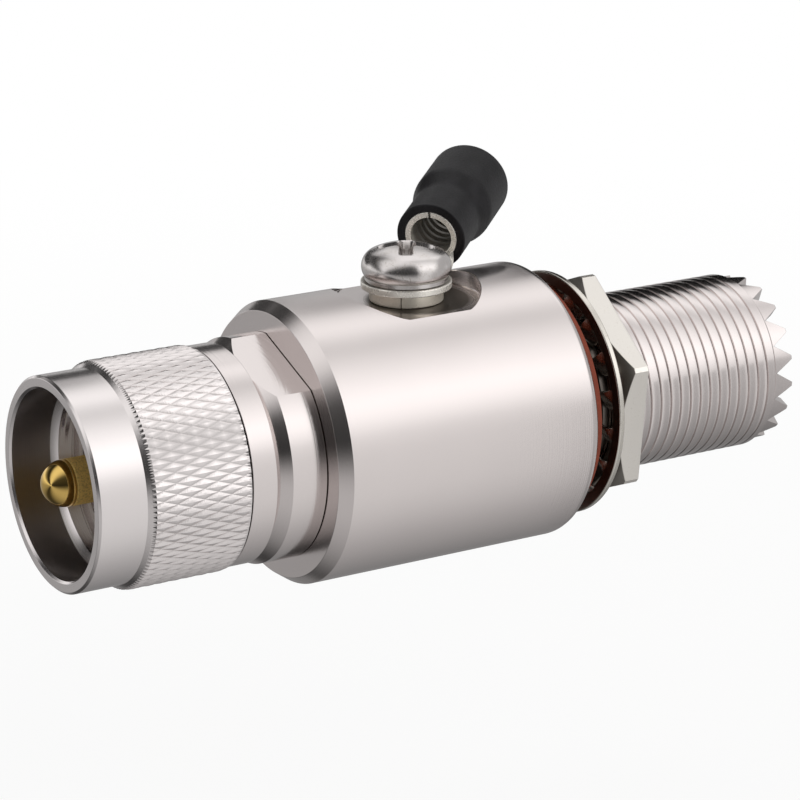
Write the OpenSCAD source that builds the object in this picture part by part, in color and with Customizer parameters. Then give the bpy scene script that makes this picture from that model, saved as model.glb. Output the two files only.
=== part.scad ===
// Coaxial lightning arrestor: screw-on plug, grounded gas-tube body, bulkhead jack.
// Millimetres. +X runs along the connector axis from the plug to the jack, +Z along the
// ground screw. The origin is the centre of the body's rear face, which seats on the panel.

/* [Body] */
// Diameter of the body
body_d = 24.44; // [22:0.1:28]
// Length of the body
body_len = 25.5; // [23:0.1:30]
// Length of the front chamfer along the axis
front_chamfer_len = 1.05; // [0.5:0.05:1.6]
// Depth of the front chamfer across the axis
front_chamfer_depth = 0.73; // [0.4:0.01:1.2]
// Rear edge chamfer
rear_chamfer = 0.4; // [0.2:0.05:0.8]
// Diameter of the gas tube chamber
chamber_d = 14.8; // [14.2:0.1:15.2]
// Depth of the tapped hole in each end of the body
end_tap_depth = 6; // [4:0.1:7]

/* [Ground pocket] */
// Distance of the ground screw from the rear face
screw_setback = 12.15; // [11.5:0.05:13]
// Diameter of the spot-faced pocket
pocket_d = 12.8; // [11:0.1:13.4]
// Depth of the pocket below the top of the body
pocket_depth = 1.38; // [1:0.02:2]

/* [Plug hub] */
// Height of the hub over the knurled band of the coupling nut
hub_proud = 0.06; // [0:0.02:0.5]
// Length of the hub
hub_len = 3.25; // [2.5:0.05:5]
// Depth of a wrench flat
flat_depth = 0.93; // [0.5:0.01:1.2]
// Turn of the wrench flats about the axis
flats_turn = 21; // [0:1:90]
// Length of the coned groove
groove_len = 1.3; // [0.8:0.05:2]
// Depth of the groove below the hub
groove_depth = 1.05; // [0.6:0.05:1.4]
// Inset of the collar below the knurled band
collar_inset = 0.21; // [0:0.01:0.5]
// Length of the collar
collar_len = 2.25; // [1.5:0.05:4]
// Diameter of the neck that the coupling nut turns on
neck_d = 13.6; // [12.8:0.1:13.9]
// Diameter of the spigot that carries the outer contact
spigot_d = 10.4; // [9.6:0.1:10.8]
// Length of that spigot
spigot_len = 1.3; // [1:0.1:2]
// Bore through the plug hub and the jack shell
line_bore_d = 8.4; // [7.6:0.1:9]

/* [Coupling nut] */
// Length of the coupling nut
nut_len = 13.55; // [12.5:0.05:17]
// Height of the knurled band above the smooth front band
knurl_step = 0.54; // [0.3:0.02:1]
// Wall of the smooth front band round the counterbore
nut_front_wall = 1.1; // [0.8:0.05:2]
// Length of the smooth front band
nut_front_len = 4.3; // [3:0.1:6]
// Length of the bevel in front of the knurl
nut_bevel_len = 0.6; // [0.3:0.05:1]
// Diameter of the smooth counterbore
nut_counterbore_d = 16; // [15.9:0.1:16.6]
// Depth of the counterbore
nut_counterbore_len = 3.7; // [2:0.1:5]
// Minor diameter of the internal thread
nut_thread_d = 14.86; // [14.6:0.02:15]
// Length of the lead-in chamfer of that thread
nut_thread_lead = 0.5; // [0.2:0.05:1]
// Thickness of the rear lip
nut_lip = 1.85; // [1.2:0.05:3]
// End play of the nut, front and rear
nut_play = 0.2; // [0.1:0.05:0.4]
// Running clearance of turning pieces, radial
run_clear = 0.06; // [0.02:0.01:0.1]

/* [Plug contacts] */
// Diameter of the plug pin
pin_d = 3.96; // [3.8:0.02:4]
// Radius of the ball nose
nose_r = 1.85; // [1.7:0.01:1.9]
// Reach of the nose beyond the coupling nut
nose_reach = 0.75; // [0:0.05:1.5]
// Distance from the ball's centre back to the full pin
nose_neck = 0.85; // [0.6:0.05:1.2]
// Outer diameter of the outer contact
contact_d = 12.1; // [11.6:0.1:12.3]
// Length of the outer contact in front of its flange
contact_len = 2.8; // [2:0.1:4]
// Diameter of the outer contact's flange
flange_d = 14.2; // [13.9:0.1:14.5]
// Length of the flange
flange_len = 1.2; // [1:0.1:2]
// Setback of the plug insulator's face in the outer contact
insulator_setback = 1; // [0.5:0.1:1.5]
// Length of the plug insulator's tail in the hub
insulator_tail = 5.9; // [4:0.1:6.5]
// Diameter of the pin's tail in the insulator
tail_d = 2.4; // [2.2:0.1:2.8]

/* [Centre line] */
// Diameter of the centre conductor
centre_d = 3; // [2.8:0.1:3.4]
// Diameter of the conductor's end spigots
joint_d = 1.5; // [1.2:0.1:1.6]
// Length of the conductor's end spigots
joint_len = 2.4; // [1.5:0.1:3]
// Length of each supporting bead
bead_len = 8; // [6:0.1:8.4]
// Slip clearance of fitted pieces, radial
slip_clear = 0.02; // [0.01:0.01:0.04]

/* [Gas tube] */
// Diameter of the gas tube's electrodes
tube_d = 5.5; // [5:0.1:5.8]
// Length of the gas tube
tube_len = 5.8; // [5.4:0.1:5.9]
// Diameter of the ceramic sleeve
ceramic_d = 5; // [4.6:0.1:5.2]
// Bore of the ceramic sleeve
ceramic_bore = 3.4; // [3:0.1:3.8]
// Thickness of an electrode's rim
electrode_rim = 0.7; // [0.5:0.05:0.9]
// Diameter of the electrode's inner boss
electrode_boss_d = 2.4; // [2:0.1:2.8]
// Spark gap between the two bosses
spark_gap = 1.2; // [0.8:0.1:2]
// Height of the flat that the gas tube stands on, above the axis
flat_height = 0.8; // [0.6:0.05:1.1]

/* [Jack] */
// Major diameter of the jack thread
thread_d = 15.875; // [15.8:0.005:15.95]
// Length of the threaded barrel from the body
jack_len = 22.1; // [20:0.1:28]
// Length of the crown of teeth
crown_len = 1.9; // [1.2:0.1:2.5]
// Step from the thread down to the crown
crown_step = 0.39; // [0.37:0.01:0.6]
// Number of crown teeth
crown_teeth = 19; // [12:1:24]
// Width of a tooth's tip
tooth_tip = 0.35; // [0.2:0.05:0.6]
// Plain land between the notches and the thread
crown_land = 0.15; // [0.1:0.05:0.5]
// Bore of the jack's mouth
socket_d = 12.6; // [12.3:0.1:13]
// Depth of the insulator's face below the crown
socket_depth = 7; // [5:0.1:9]
// Step from the socket's bore down to the insulator's bore
insulator_step = 0.2; // [0.1:0.05:0.5]
// Length of the jack insulator
jack_insulator_len = 12; // [10:0.1:13]
// Outer diameter of the slotted contact
jack_contact_d = 5.8; // [5.4:0.1:6.2]
// Bore of the slotted contact
jack_contact_bore = 4; // [3.98:0.02:4.2]
// Depth of the contact's bore
jack_contact_depth = 8.5; // [7:0.1:9]
// Number of slots in the contact
contact_slots = 4; // [3:1:4]
// Width of a contact slot
contact_slot_w = 0.5; // [0.3:0.05:0.7]
// Length of a contact slot
contact_slot_len = 6.5; // [4:0.1:7]

/* [Panel hardware] */
// Width of the sealing gasket round the thread
gasket_w = 3.46; // [2.6:0.02:4]
// Thickness of the sealing gasket
gasket_t = 1; // [0.6:0.05:1.6]
// Room left for a panel between the gasket and the star washer
panel_room = 1.8; // [1.5:0.1:4]
// Clearance of the star washer's teeth over the thread, radial
star_clear = 0.21; // [0.15:0.01:0.4]
// Length of the star washer's teeth
star_tooth_len = 1.35; // [1:0.05:1.8]
// Width of the star washer's plain ring
star_rim = 1.4; // [1:0.05:2]
// Thickness of the star washer
star_t = 0.55; // [0.4:0.05:0.8]
// Number of internal teeth
star_teeth = 18; // [10:1:20]
// Width of a tooth
star_tooth_w = 1.75; // [1.2:0.05:1.9]
// Twist of a tooth
star_twist = 28; // [10:1:35]
// Wall of the jam nut between its thread and a flat
jam_wall = 1.41; // [1.1:0.01:2.2]
// Thickness of the jam nut
jam_t = 2.7; // [2.4:0.1:5]
// Inset of the jam nut's chamfer face from the flats
jam_face_inset = 0.3; // [0.1:0.05:0.6]
// Slope of that chamfer
jam_chamfer = 37; // [25:1:45]
// Turn of the jam nut at rest
jam_turn = 96.7; // [0:0.1:120]
// Gap between the star washer's teeth and the jam nut
stack_gap = 0.05; // [0.02:0.01:0.2]

/* [Ground hardware] */
// Diameter of the ground screw
screw_d = 4; // [3.8:0.1:4.2]
// Diameter of the screw head
head_d = 7.9; // [7.4:0.1:8.4]
// Height of the screw head
head_h = 2.95; // [2.4:0.05:3.4]
// Rounding of the head's edge
head_round = 1.45; // [1.2:0.05:1.6]
// Inset of the head's underside edge
head_inset = 0.15; // [0.05:0.01:0.3]
// Length of the cross recess
recess_len = 4.4; // [3:0.1:5]
// Width of the cross recess
recess_w = 0.95; // [0.6:0.05:1.2]
// Depth of the cross recess
recess_depth = 1.5; // [1:0.1:1.8]
// Turn of the cross recess
recess_turn = 58; // [0:1:90]
// Outer diameter of the split washer
split_d = 6.5; // [6:0.1:7]
// Thickness of the split washer
split_t = 1.15; // [0.8:0.05:1.4]
// Angle left open at the split
split_open = 9; // [4:1:20]
// Clearance of the washer and lug holes over the screw, radial
hole_clear = 0.15; // [0.1:0.01:0.3]

/* [Ring lug] */
// Outer diameter of the lug's ring
ring_d = 8.3; // [7.6:0.1:9]
// Thickness of the lug's sheet
sheet_t = 0.6; // [0.5:0.05:0.8]
// Distance from the screw to the bend
bend_at = 5.95; // [5:0.05:7]
// Upward bend of the barrel
bend_angle = 11; // [6:0.5:20]
// Distance from the bend to the barrel's mouth
throat_len = 1.4; // [1:0.1:2.5]
// Funnel of the throat beyond the barrel's bore, radial
throat_ease = 0.12; // [0.1:0.01:0.3]
// Width of the lug's neck
neck_w = 4.3; // [3.6:0.1:4.6]
// Outer diameter of the crimp barrel
barrel_d = 4.7; // [4.4:0.1:5]
// Bore of the crimp barrel
barrel_bore = 3.7; // [3.5:0.1:3.9]
// Length of the crimp barrel
barrel_len = 6.4; // [5:0.1:7]
// Width of the barrel's seam
seam_w = 0.25; // [0.1:0.05:0.4]
// Swing of the lug about the screw, from the axis towards the rear
lug_turn = 41; // [38:1:60]

/* [Lug sleeve] */
// Diameter of the sleeve over the barrel
sleeve_d = 6.2; // [6:0.1:6.4]
// Length of that part of the sleeve
sleeve_grip = 4.4; // [3:0.1:5.5]
// Diameter of the flared wire entry
flare_d = 7.3; // [6.8:0.1:7.8]
// Length of the flare's slope
flare_slope = 2; // [1:0.1:3]
// Whole length of the sleeve
sleeve_len = 11.9; // [10.5:0.1:14]
// Wall of the flared part
flare_wall = 0.7; // [0.5:0.05:0.9]
// Rounding of the wire entry's edge
flare_round = 0.35; // [0.2:0.05:0.4]

/* [Hidden] */
$fn = 96;
BIG = 100;
OVER = 0.1;

nickel = [0.80, 0.78, 0.76];
satin_nickel = [0.72, 0.70, 0.68];
gold = [0.80, 0.62, 0.22];
fluoropolymer = [0.93, 0.93, 0.90];
ceramic_white = [0.96, 0.95, 0.92];
silicone_red = [0.55, 0.17, 0.10];
tin = [0.78, 0.77, 0.74];
vinyl_black = [0.07, 0.07, 0.08];

// Stations along the axis, from the body's rear face towards the plug
x_face = -body_len;
x_hub = x_face - hub_len;
x_groove = x_hub - groove_len;
x_collar = x_groove - collar_len;
x_nut_rear = x_collar - nut_play;
x_nut_front = x_nut_rear - nut_len;
x_lip = x_nut_rear - nut_lip;
x_neck = x_lip - nut_play;
x_spigot = x_neck - spigot_len;
x_contact = x_neck - flange_len - contact_len;
x_insulator = x_contact + insulator_setback;
x_tail_end = x_spigot + insulator_tail;
x_nose = x_nut_front - nose_reach + nose_r;
x_hub_end = x_face + end_tap_depth - slip_clear;

// Stations along the axis, from the body's rear face towards the jack
x_shell = -end_tap_depth + slip_clear;
x_crown = jack_len + crown_len;
x_socket = x_crown - socket_depth;
x_seat = x_socket - jack_insulator_len;
x_contact_floor = x_socket - jack_contact_depth;
x_contact_rear = x_contact_floor - joint_len;
x_rear_bead = x_seat - slip_clear - bead_len;
x_front_bead = x_tail_end + slip_clear;
x_star = gasket_t + panel_room;
tooth_reach = (star_tooth_w * sin(star_twist) + star_t * cos(star_twist)) / 2;
x_jam = x_star + star_t / 2 + tooth_reach + stack_gap;

// Diameters that follow the nut's counterbore and the jack's thread
body_r = body_d / 2;
neck_r = neck_d / 2;
tap_r = thread_d / 2 + slip_clear;
nut_front_d = nut_counterbore_d + 2 * nut_front_wall;
knurl_d = nut_front_d + 2 * knurl_step;
hub_d = knurl_d + 2 * hub_proud;
hub_flats = hub_d - 2 * flat_depth;
groove_d = hub_d - 2 * groove_depth;
collar_d = knurl_d - 2 * collar_inset;
crown_d = thread_d - 2 * crown_step;
gasket_d = thread_d + 2 * gasket_w;
star_tip_d = thread_d + 2 * star_clear;
star_ring_d = star_tip_d + 2 * star_tooth_len;
star_d = star_ring_d + 2 * star_rim;
jam_flats = thread_d + 2 * jam_wall;
jam_face_d = jam_flats - 2 * jam_face_inset;
jam_corner_d = jam_flats / cos(30);

// Stations up the ground screw
z_floor = body_r - pocket_depth;
z_lug = z_floor + split_t;
z_head = z_lug + sheet_t;
z_tip = flat_height + tube_len;
hole_r = screw_d / 2 + hole_clear;
tongue_lift = barrel_d / 2;

// A solid turned about the connector axis from points [radius, x]
module turned(points) {
    rotate([0, 90, 0]) rotate_extrude() polygon(points);
}

// A round bar along the connector axis between two stations
module bar(d, from, to) {
    translate([from, 0, 0]) rotate([0, 90, 0]) cylinder(d = d, h = to - from);
}

// A ring along the connector axis between two stations
module tube(d, bore, from, to) {
    difference() {
        bar(d, from, to);
        bar(bore, from - OVER, to + OVER);
    }
}

// Moves a shape drawn about Z to the ground screw's axis
module at_screw(height) {
    translate([-screw_setback, 0, height]) children();
}

// Turned body with the spot-faced ground pocket and its tapped hole
module body() {
    color(nickel) difference() {
        turned([
            [0, x_face], [body_r - front_chamfer_depth, x_face],
            [body_r, x_face + front_chamfer_len], [body_r, -rear_chamfer],
            [body_r - rear_chamfer, 0], [0, 0]
        ]);
        bar(chamber_d, x_face - OVER, OVER);
        bar(2 * tap_r, x_face - OVER, x_face + end_tap_depth);
        bar(2 * tap_r, -end_tap_depth, OVER);
        at_screw(z_floor) cylinder(d = pocket_d, h = body_r);
        at_screw(0) cylinder(r = screw_d / 2 + run_clear, h = body_r);
    }
}

// Plug hub: spigot, neck for the coupling nut, collar, coned groove and wrench flats
module plug_hub() {
    hub_r = hub_d / 2;
    color(nickel) difference() {
        turned([
            [line_bore_d / 2, x_spigot], [spigot_d / 2, x_spigot], [spigot_d / 2, x_neck],
            [neck_r, x_neck], [neck_r, x_collar], [collar_d / 2, x_collar],
            [collar_d / 2, x_groove], [groove_d / 2, x_groove], [hub_r, x_hub],
            [hub_r, x_face], [tap_r - slip_clear, x_face], [tap_r - slip_clear, x_hub_end],
            [line_bore_d / 2, x_hub_end]
        ]);
        for (side = [0, 180])
            rotate([flats_turn + side, 0, 0])
                translate([x_groove, -BIG / 2, hub_flats / 2])
                    cube([x_face - x_groove, BIG, BIG]);
    }
}

// Outer contact: flange that holds the coupling nut, and the sleeve that enters the jack
module outer_contact() {
    rim_chamfer = 0.3;
    bore_r = spigot_d / 2 + slip_clear;
    contact_r = contact_d / 2;
    x_flange = x_neck - flange_len;
    color(nickel) turned([
        [bore_r, x_contact], [contact_r - rim_chamfer, x_contact],
        [contact_r, x_contact + rim_chamfer], [contact_r, x_flange],
        [flange_d / 2, x_flange], [flange_d / 2, x_neck], [bore_r, x_neck]
    ]);
}

// Coupling nut: smooth front band, bevelled knurl band, counterbore, thread and rear lip
module coupling_nut() {
    edge = 0.2;
    front_r = nut_front_d / 2;
    band_r = knurl_d / 2;
    counterbore_r = nut_counterbore_d / 2;
    thread_r = nut_thread_d / 2;
    x_band = x_nut_front + nut_front_len;
    x_thread = x_nut_front + nut_counterbore_len;
    color(nickel) turned([
        [counterbore_r + edge, x_nut_front], [front_r - edge, x_nut_front],
        [front_r, x_nut_front + edge], [front_r, x_band], [band_r, x_band + nut_bevel_len],
        [band_r, x_nut_rear - edge], [band_r - edge, x_nut_rear],
        [neck_r + run_clear, x_nut_rear], [neck_r + run_clear, x_lip], [thread_r, x_lip],
        [thread_r, x_thread + nut_thread_lead], [counterbore_r, x_thread],
        [counterbore_r, x_nut_front + edge]
    ]);
}

// Plug pin: ball nose on a necked shank, and a drilled tail inside the insulator
module plug_pin() {
    shank_r = pin_d / 2;
    x_shank = x_nose + nose_neck;
    neck_end_r = sqrt(nose_r * nose_r - nose_neck * nose_neck);
    shoulder = shank_r - neck_end_r;
    color(gold) difference() {
        union() {
            translate([x_nose, 0, 0]) sphere(r = nose_r);
            turned([
                [0, x_nose], [neck_end_r, x_shank], [shank_r, x_shank + shoulder],
                [shank_r, x_insulator], [0, x_insulator]
            ]);
            bar(tail_d, x_insulator - OVER, x_tail_end);
        }
        bar(joint_d, x_tail_end - joint_len, x_tail_end + OVER);
    }
}

// Stepped insulator that centres the pin in the plug
module plug_insulator() {
    color(fluoropolymer) difference() {
        union() {
            bar(spigot_d, x_insulator, x_spigot);
            bar(line_bore_d - 2 * slip_clear, x_spigot - OVER, x_tail_end);
        }
        bar(tail_d + 2 * slip_clear, x_insulator - OVER, x_tail_end + OVER);
    }
}

// Bead that holds the centre conductor in the bore of the hub or the shell
module bead(from) {
    color(fluoropolymer)
        tube(line_bore_d - 2 * slip_clear, centre_d + 2 * slip_clear, from, from + bead_len);
}

module front_bead() {
    bead(x_front_bead);
}

module rear_bead() {
    bead(x_rear_bead);
}

// Through conductor with an end spigot each way and a flat under the gas tube
module centre_conductor() {
    from = x_front_bead;
    to = x_contact_rear - slip_clear;
    spigot = joint_d - 2 * slip_clear;
    reach = joint_len - 2 * slip_clear;
    color(gold) difference() {
        union() {
            bar(centre_d, from, to);
            bar(spigot, from - reach, from + OVER);
            bar(spigot, to - OVER, to + reach);
        }
        translate([-screw_setback - tube_d / 2 - OVER, -centre_d, flat_height])
            cube([tube_d + 2 * OVER, 2 * centre_d, centre_d]);
    }
}

// Threaded jack barrel with the crown of teeth at its mouth
module jack_shell() {
    lead = 0.35;
    thread_r = thread_d / 2;
    notch_angle = 360 / crown_teeth;
    crown_r = crown_d / 2;
    socket_r = socket_d / 2;
    seat_r = socket_r - insulator_step;
    gap = 2 * crown_r * tan(notch_angle / 2);
    color(nickel) difference() {
        turned([
            [line_bore_d / 2, x_shell], [thread_r, x_shell], [thread_r, jack_len - lead],
            [thread_r - lead, jack_len], [crown_r, jack_len], [crown_r, x_crown],
            [socket_r, x_crown], [socket_r, x_socket], [seat_r, x_socket], [seat_r, x_seat],
            [line_bore_d / 2, x_seat]
        ]);
        for (i = [0 : crown_teeth - 1])
            rotate([i * notch_angle, 0, 0])
                translate([x_crown, 0, socket_r - OVER])
                    linear_extrude(height = crown_r) polygon([
                        [OVER, -gap / 2 + tooth_tip / 2], [OVER, gap / 2 - tooth_tip / 2],
                        [0, gap / 2 - tooth_tip / 2], [crown_land - crown_len, 0],
                        [0, -gap / 2 + tooth_tip / 2]
                    ]);
    }
}

// Slotted female contact with a drilled rear end
module jack_contact() {
    color(gold) difference() {
        bar(jack_contact_d, x_contact_rear, x_socket);
        bar(jack_contact_bore, x_contact_floor, x_socket + OVER);
        bar(joint_d, x_contact_rear - OVER, x_contact_floor + OVER);
        for (i = [0 : contact_slots - 1])
            rotate([(i + 0.5) * 360 / contact_slots, 0, 0])
                translate([x_socket - contact_slot_len, -contact_slot_w / 2, 0])
                    cube([contact_slot_len + OVER, contact_slot_w, jack_contact_d]);
    }
}

// Insulator that fills the jack behind its mouth
module jack_insulator() {
    seat_d = socket_d - 2 * insulator_step;
    color(fluoropolymer)
        tube(seat_d - 2 * slip_clear, jack_contact_d + 2 * slip_clear, x_seat, x_socket);
}

// Ceramic sleeve of the gas tube
module gas_tube_ceramic() {
    color(ceramic_white) at_screw(flat_height + electrode_rim) difference() {
        cylinder(d = ceramic_d, h = tube_len - 2 * electrode_rim);
        translate([0, 0, -OVER]) cylinder(d = ceramic_bore, h = tube_len);
    }
}

// End electrode of the gas tube: a rim with a boss that reaches into the ceramic
module electrode() {
    boss = (tube_len - spark_gap) / 2;
    cylinder(d = tube_d, h = electrode_rim);
    cylinder(d = electrode_boss_d, h = boss);
}

module gas_tube_bottom() {
    color(tin) at_screw(flat_height) electrode();
}

module gas_tube_top() {
    color(tin) at_screw(z_tip) mirror([0, 0, 1]) electrode();
}

// Sealing gasket against the body's rear face
module panel_gasket() {
    color(silicone_red) tube(gasket_d, 2 * tap_r, 0, gasket_t);
}

// Lock washer with twisted teeth on the inside
module star_washer() {
    tip_r = star_tip_d / 2;
    ring_r = star_ring_d / 2;
    root = 0.5;
    color(satin_nickel) {
        tube(star_d, star_ring_d, x_star, x_star + star_t);
        for (i = [0 : star_teeth - 1])
            rotate([i * 360 / star_teeth, 0, 0])
                translate([x_star + star_t / 2, 0, tip_r])
                    rotate([0, 0, star_twist])
                        translate([-star_t / 2, -star_tooth_w / 2, 0])
                            cube([star_t, star_tooth_w, ring_r - tip_r + root]);
    }
}

// Hex jam nut, chamfered on the side of the panel
module jam_nut() {
    corner_r = jam_corner_d / 2;
    face_r = jam_face_d / 2;
    cone_r = corner_r + OVER;
    x_cone = x_jam + (cone_r - face_r) * tan(jam_chamfer);
    color(satin_nickel) difference() {
        intersection() {
            translate([x_jam, 0, 0]) rotate([jam_turn, 0, 0]) rotate([0, 90, 0])
                rotate([0, 0, 90]) cylinder(r = corner_r, h = jam_t, $fn = 6);
            turned([
                [0, x_jam], [face_r, x_jam], [cone_r, x_cone],
                [cone_r, x_jam + jam_t], [0, x_jam + jam_t]
            ]);
        }
        bar(thread_d + 2 * run_clear, x_jam - OVER, x_jam + jam_t + OVER);
    }
}

// Pan head ground screw with a cross recess, its tip on the gas tube
module ground_screw() {
    head_r = head_d / 2;
    core_r = head_r - head_round;
    round_z = head_round - 0.2;
    rise = head_h - round_z;
    dome_r = (core_r * core_r + rise * rise - head_round * head_round) / (2 * (rise - head_round));
    color(nickel) difference() {
        union() {
            at_screw(z_tip) cylinder(d = screw_d, h = z_head - z_tip + OVER);
            at_screw(z_head) rotate_extrude() intersection() {
                square([head_r, head_h]);
                union() {
                    square([head_r - head_inset, round_z]);
                    translate([core_r, round_z]) circle(r = head_round);
                    intersection() {
                        square([core_r, head_h]);
                        translate([0, head_h - dome_r]) circle(r = dome_r);
                    }
                }
            }
        }
        for (turn = [0, 90])
            at_screw(z_head + head_h - recess_depth) rotate([0, 0, recess_turn + turn])
                translate([-recess_len / 2, -recess_w / 2, 0])
                    cube([recess_len, recess_w, recess_depth + OVER]);
    }
}

// Split spring washer, drawn flat by the screw
module spring_washer() {
    color(tin) at_screw(z_floor) rotate([0, 0, lug_turn + 180])
        rotate_extrude(angle = 360 - split_open)
            translate([hole_r, 0]) square([split_d / 2 - hole_r, split_t]);
}

// Moves a shape drawn along +X from the barrel's mouth to the bent-up barrel
module at_barrel() {
    at_screw(z_lug) rotate([0, 0, lug_turn]) translate([bend_at, 0, 0])
        rotate([0, -bend_angle, 0]) translate([throat_len, 0, tongue_lift]) children();
}

// Ring lug: flat ring and neck, bent throat and split crimp barrel in one sheet
module ground_lug() {
    barrel_r = barrel_d / 2;
    bore_r = barrel_bore / 2;
    fuse = 1;
    color(tin) {
        difference() {
            at_screw(z_lug) rotate([0, 0, lug_turn]) linear_extrude(height = sheet_t)
                union() {
                    circle(d = ring_d);
                    translate([0, -neck_w / 2]) square([bend_at + OVER, neck_w]);
                }
            at_screw(z_lug - OVER) cylinder(r = hole_r, h = 2 * sheet_t);
        }
        at_barrel() {
            translate([-throat_len, -neck_w / 2, -barrel_r]) cube([throat_len, neck_w, sheet_t]);
            intersection() {
                translate([-OVER, -neck_w / 2, -barrel_r]) cube([fuse, neck_w, sheet_t]);
                bar(barrel_d, -fuse, fuse);
            }
            intersection() {
                turned([
                    [bore_r, 0], [bore_r + throat_ease, -throat_len], [barrel_r, -throat_len],
                    [barrel_r, OVER], [(bore_r + barrel_r) / 2, OVER]
                ]);
                translate([-throat_len, -barrel_r, -barrel_r]) cube([2 * throat_len, barrel_d, 2 * sheet_t]);
            }
            difference() {
                tube(barrel_d, barrel_bore, 0, barrel_len);
                translate([-OVER, -seam_w / 2, 0]) cube([barrel_len + 2 * OVER, seam_w, barrel_d]);
            }
        }
    }
}

// Vinyl sleeve: snug over the barrel, flared and rounded at the wire entry
module lug_sleeve() {
    grip_r = sleeve_d / 2;
    bore_r = barrel_d / 2 + slip_clear;
    flare_r = flare_d / 2;
    entry_r = flare_r - flare_wall;
    x_flare = sleeve_grip + flare_slope;
    x_entry = max(x_flare, barrel_len);
    color(vinyl_black) at_barrel() turned([
        [bore_r, 0], [grip_r, 0], [grip_r, sleeve_grip], [flare_r, x_flare],
        [flare_r - flare_round / 2, sleeve_len - flare_round], [flare_r - flare_round, sleeve_len],
        [entry_r, sleeve_len], [entry_r, x_entry + entry_r - bore_r], [bore_r, x_entry]
    ]);
}

body();
plug_hub();
outer_contact();
coupling_nut();
plug_pin();
plug_insulator();
front_bead();
centre_conductor();
rear_bead();
jack_shell();
jack_contact();
jack_insulator();
gas_tube_ceramic();
gas_tube_top();
gas_tube_bottom();
panel_gasket();
star_washer();
jam_nut();
ground_screw();
spring_washer();
ground_lug();
lug_sleeve();
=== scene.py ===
"""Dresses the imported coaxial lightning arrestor: knurled plug, turned body, threaded jack and ring lug.

Lengths are in metres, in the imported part's frame: +X runs from the plug to the jack, +Z up the ground screw,
and the origin is the centre of the body's rear face. Angles round the connector axis run from +Y towards +Z.
"""

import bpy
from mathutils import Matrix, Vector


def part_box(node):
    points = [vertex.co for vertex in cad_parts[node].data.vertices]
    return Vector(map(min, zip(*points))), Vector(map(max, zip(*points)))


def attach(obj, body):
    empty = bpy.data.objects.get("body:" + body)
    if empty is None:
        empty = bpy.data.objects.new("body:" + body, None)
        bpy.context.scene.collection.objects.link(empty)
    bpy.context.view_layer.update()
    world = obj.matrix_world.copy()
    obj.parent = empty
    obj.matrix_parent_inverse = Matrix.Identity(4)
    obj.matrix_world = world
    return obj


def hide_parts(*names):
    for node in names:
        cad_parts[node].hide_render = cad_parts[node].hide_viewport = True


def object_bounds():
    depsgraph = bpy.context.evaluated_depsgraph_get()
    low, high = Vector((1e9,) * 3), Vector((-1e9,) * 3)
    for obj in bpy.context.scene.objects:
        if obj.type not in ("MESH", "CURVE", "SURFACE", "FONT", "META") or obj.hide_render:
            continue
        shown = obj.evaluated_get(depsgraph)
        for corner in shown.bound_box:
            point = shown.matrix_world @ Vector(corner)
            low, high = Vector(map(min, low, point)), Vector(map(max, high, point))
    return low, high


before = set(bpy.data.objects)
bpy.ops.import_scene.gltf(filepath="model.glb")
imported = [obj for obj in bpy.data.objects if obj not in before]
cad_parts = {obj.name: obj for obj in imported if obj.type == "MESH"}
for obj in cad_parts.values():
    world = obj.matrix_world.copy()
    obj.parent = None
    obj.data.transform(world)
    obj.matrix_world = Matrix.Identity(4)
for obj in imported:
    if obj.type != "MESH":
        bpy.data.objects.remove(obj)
CAD_BOX = [list(corner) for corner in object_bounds()]

import math

import bmesh
import bpy
import numpy as np
from bpy.props import FloatProperty, FloatVectorProperty, IntProperty, PointerProperty
from bpy.types import Operator, Panel, PropertyGroup
from mathutils import Matrix

bl_info = {
    "name": "Coax lightning arrestor",
    "version": (1, 0, 0),
    "blender": (4, 5, 0),
    "location": "3D View > Sidebar > Arrestor",
    "description": "Builds the visible pieces, finishes and studio of a coaxial lightning arrestor",
    "category": "Mesh",
}

MM = 0.001
TAU = 2 * math.pi
# Steps shorter than this are dropped, and points nearly as close are merged
MERGE = 1e-7


def low(node):
    """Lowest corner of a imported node."""
    return np.array(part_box(node)[0])


def high(node):
    """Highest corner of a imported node."""
    return np.array(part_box(node)[1])


def length(name, description, millimetres):
    """A length that a user may change."""
    return FloatProperty(name=name, description=description, default=millimetres * MM, min=0.0,
                         subtype="DISTANCE", unit="LENGTH", precision=5)


def turn(name, description, degrees):
    """An angle that a user may change."""
    return FloatProperty(name=name, description=description, default=math.radians(degrees),
                         subtype="ANGLE", unit="ROTATION")


def share(name, description, default):
    """A share from 0 to 1 that a user may change."""
    return FloatProperty(name=name, description=description, default=default, min=0.0, max=1.0,
                         subtype="FACTOR")


def count(name, description, default):
    """A number of like features."""
    return IntProperty(name=name, description=description, default=default, min=3)


def colour(name, description, red, green, blue):
    """A linear colour that a user may change."""
    return FloatVectorProperty(name=name, description=description, default=(red, green, blue), size=3,
                               min=0.0, max=1.0, subtype="COLOR")


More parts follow.
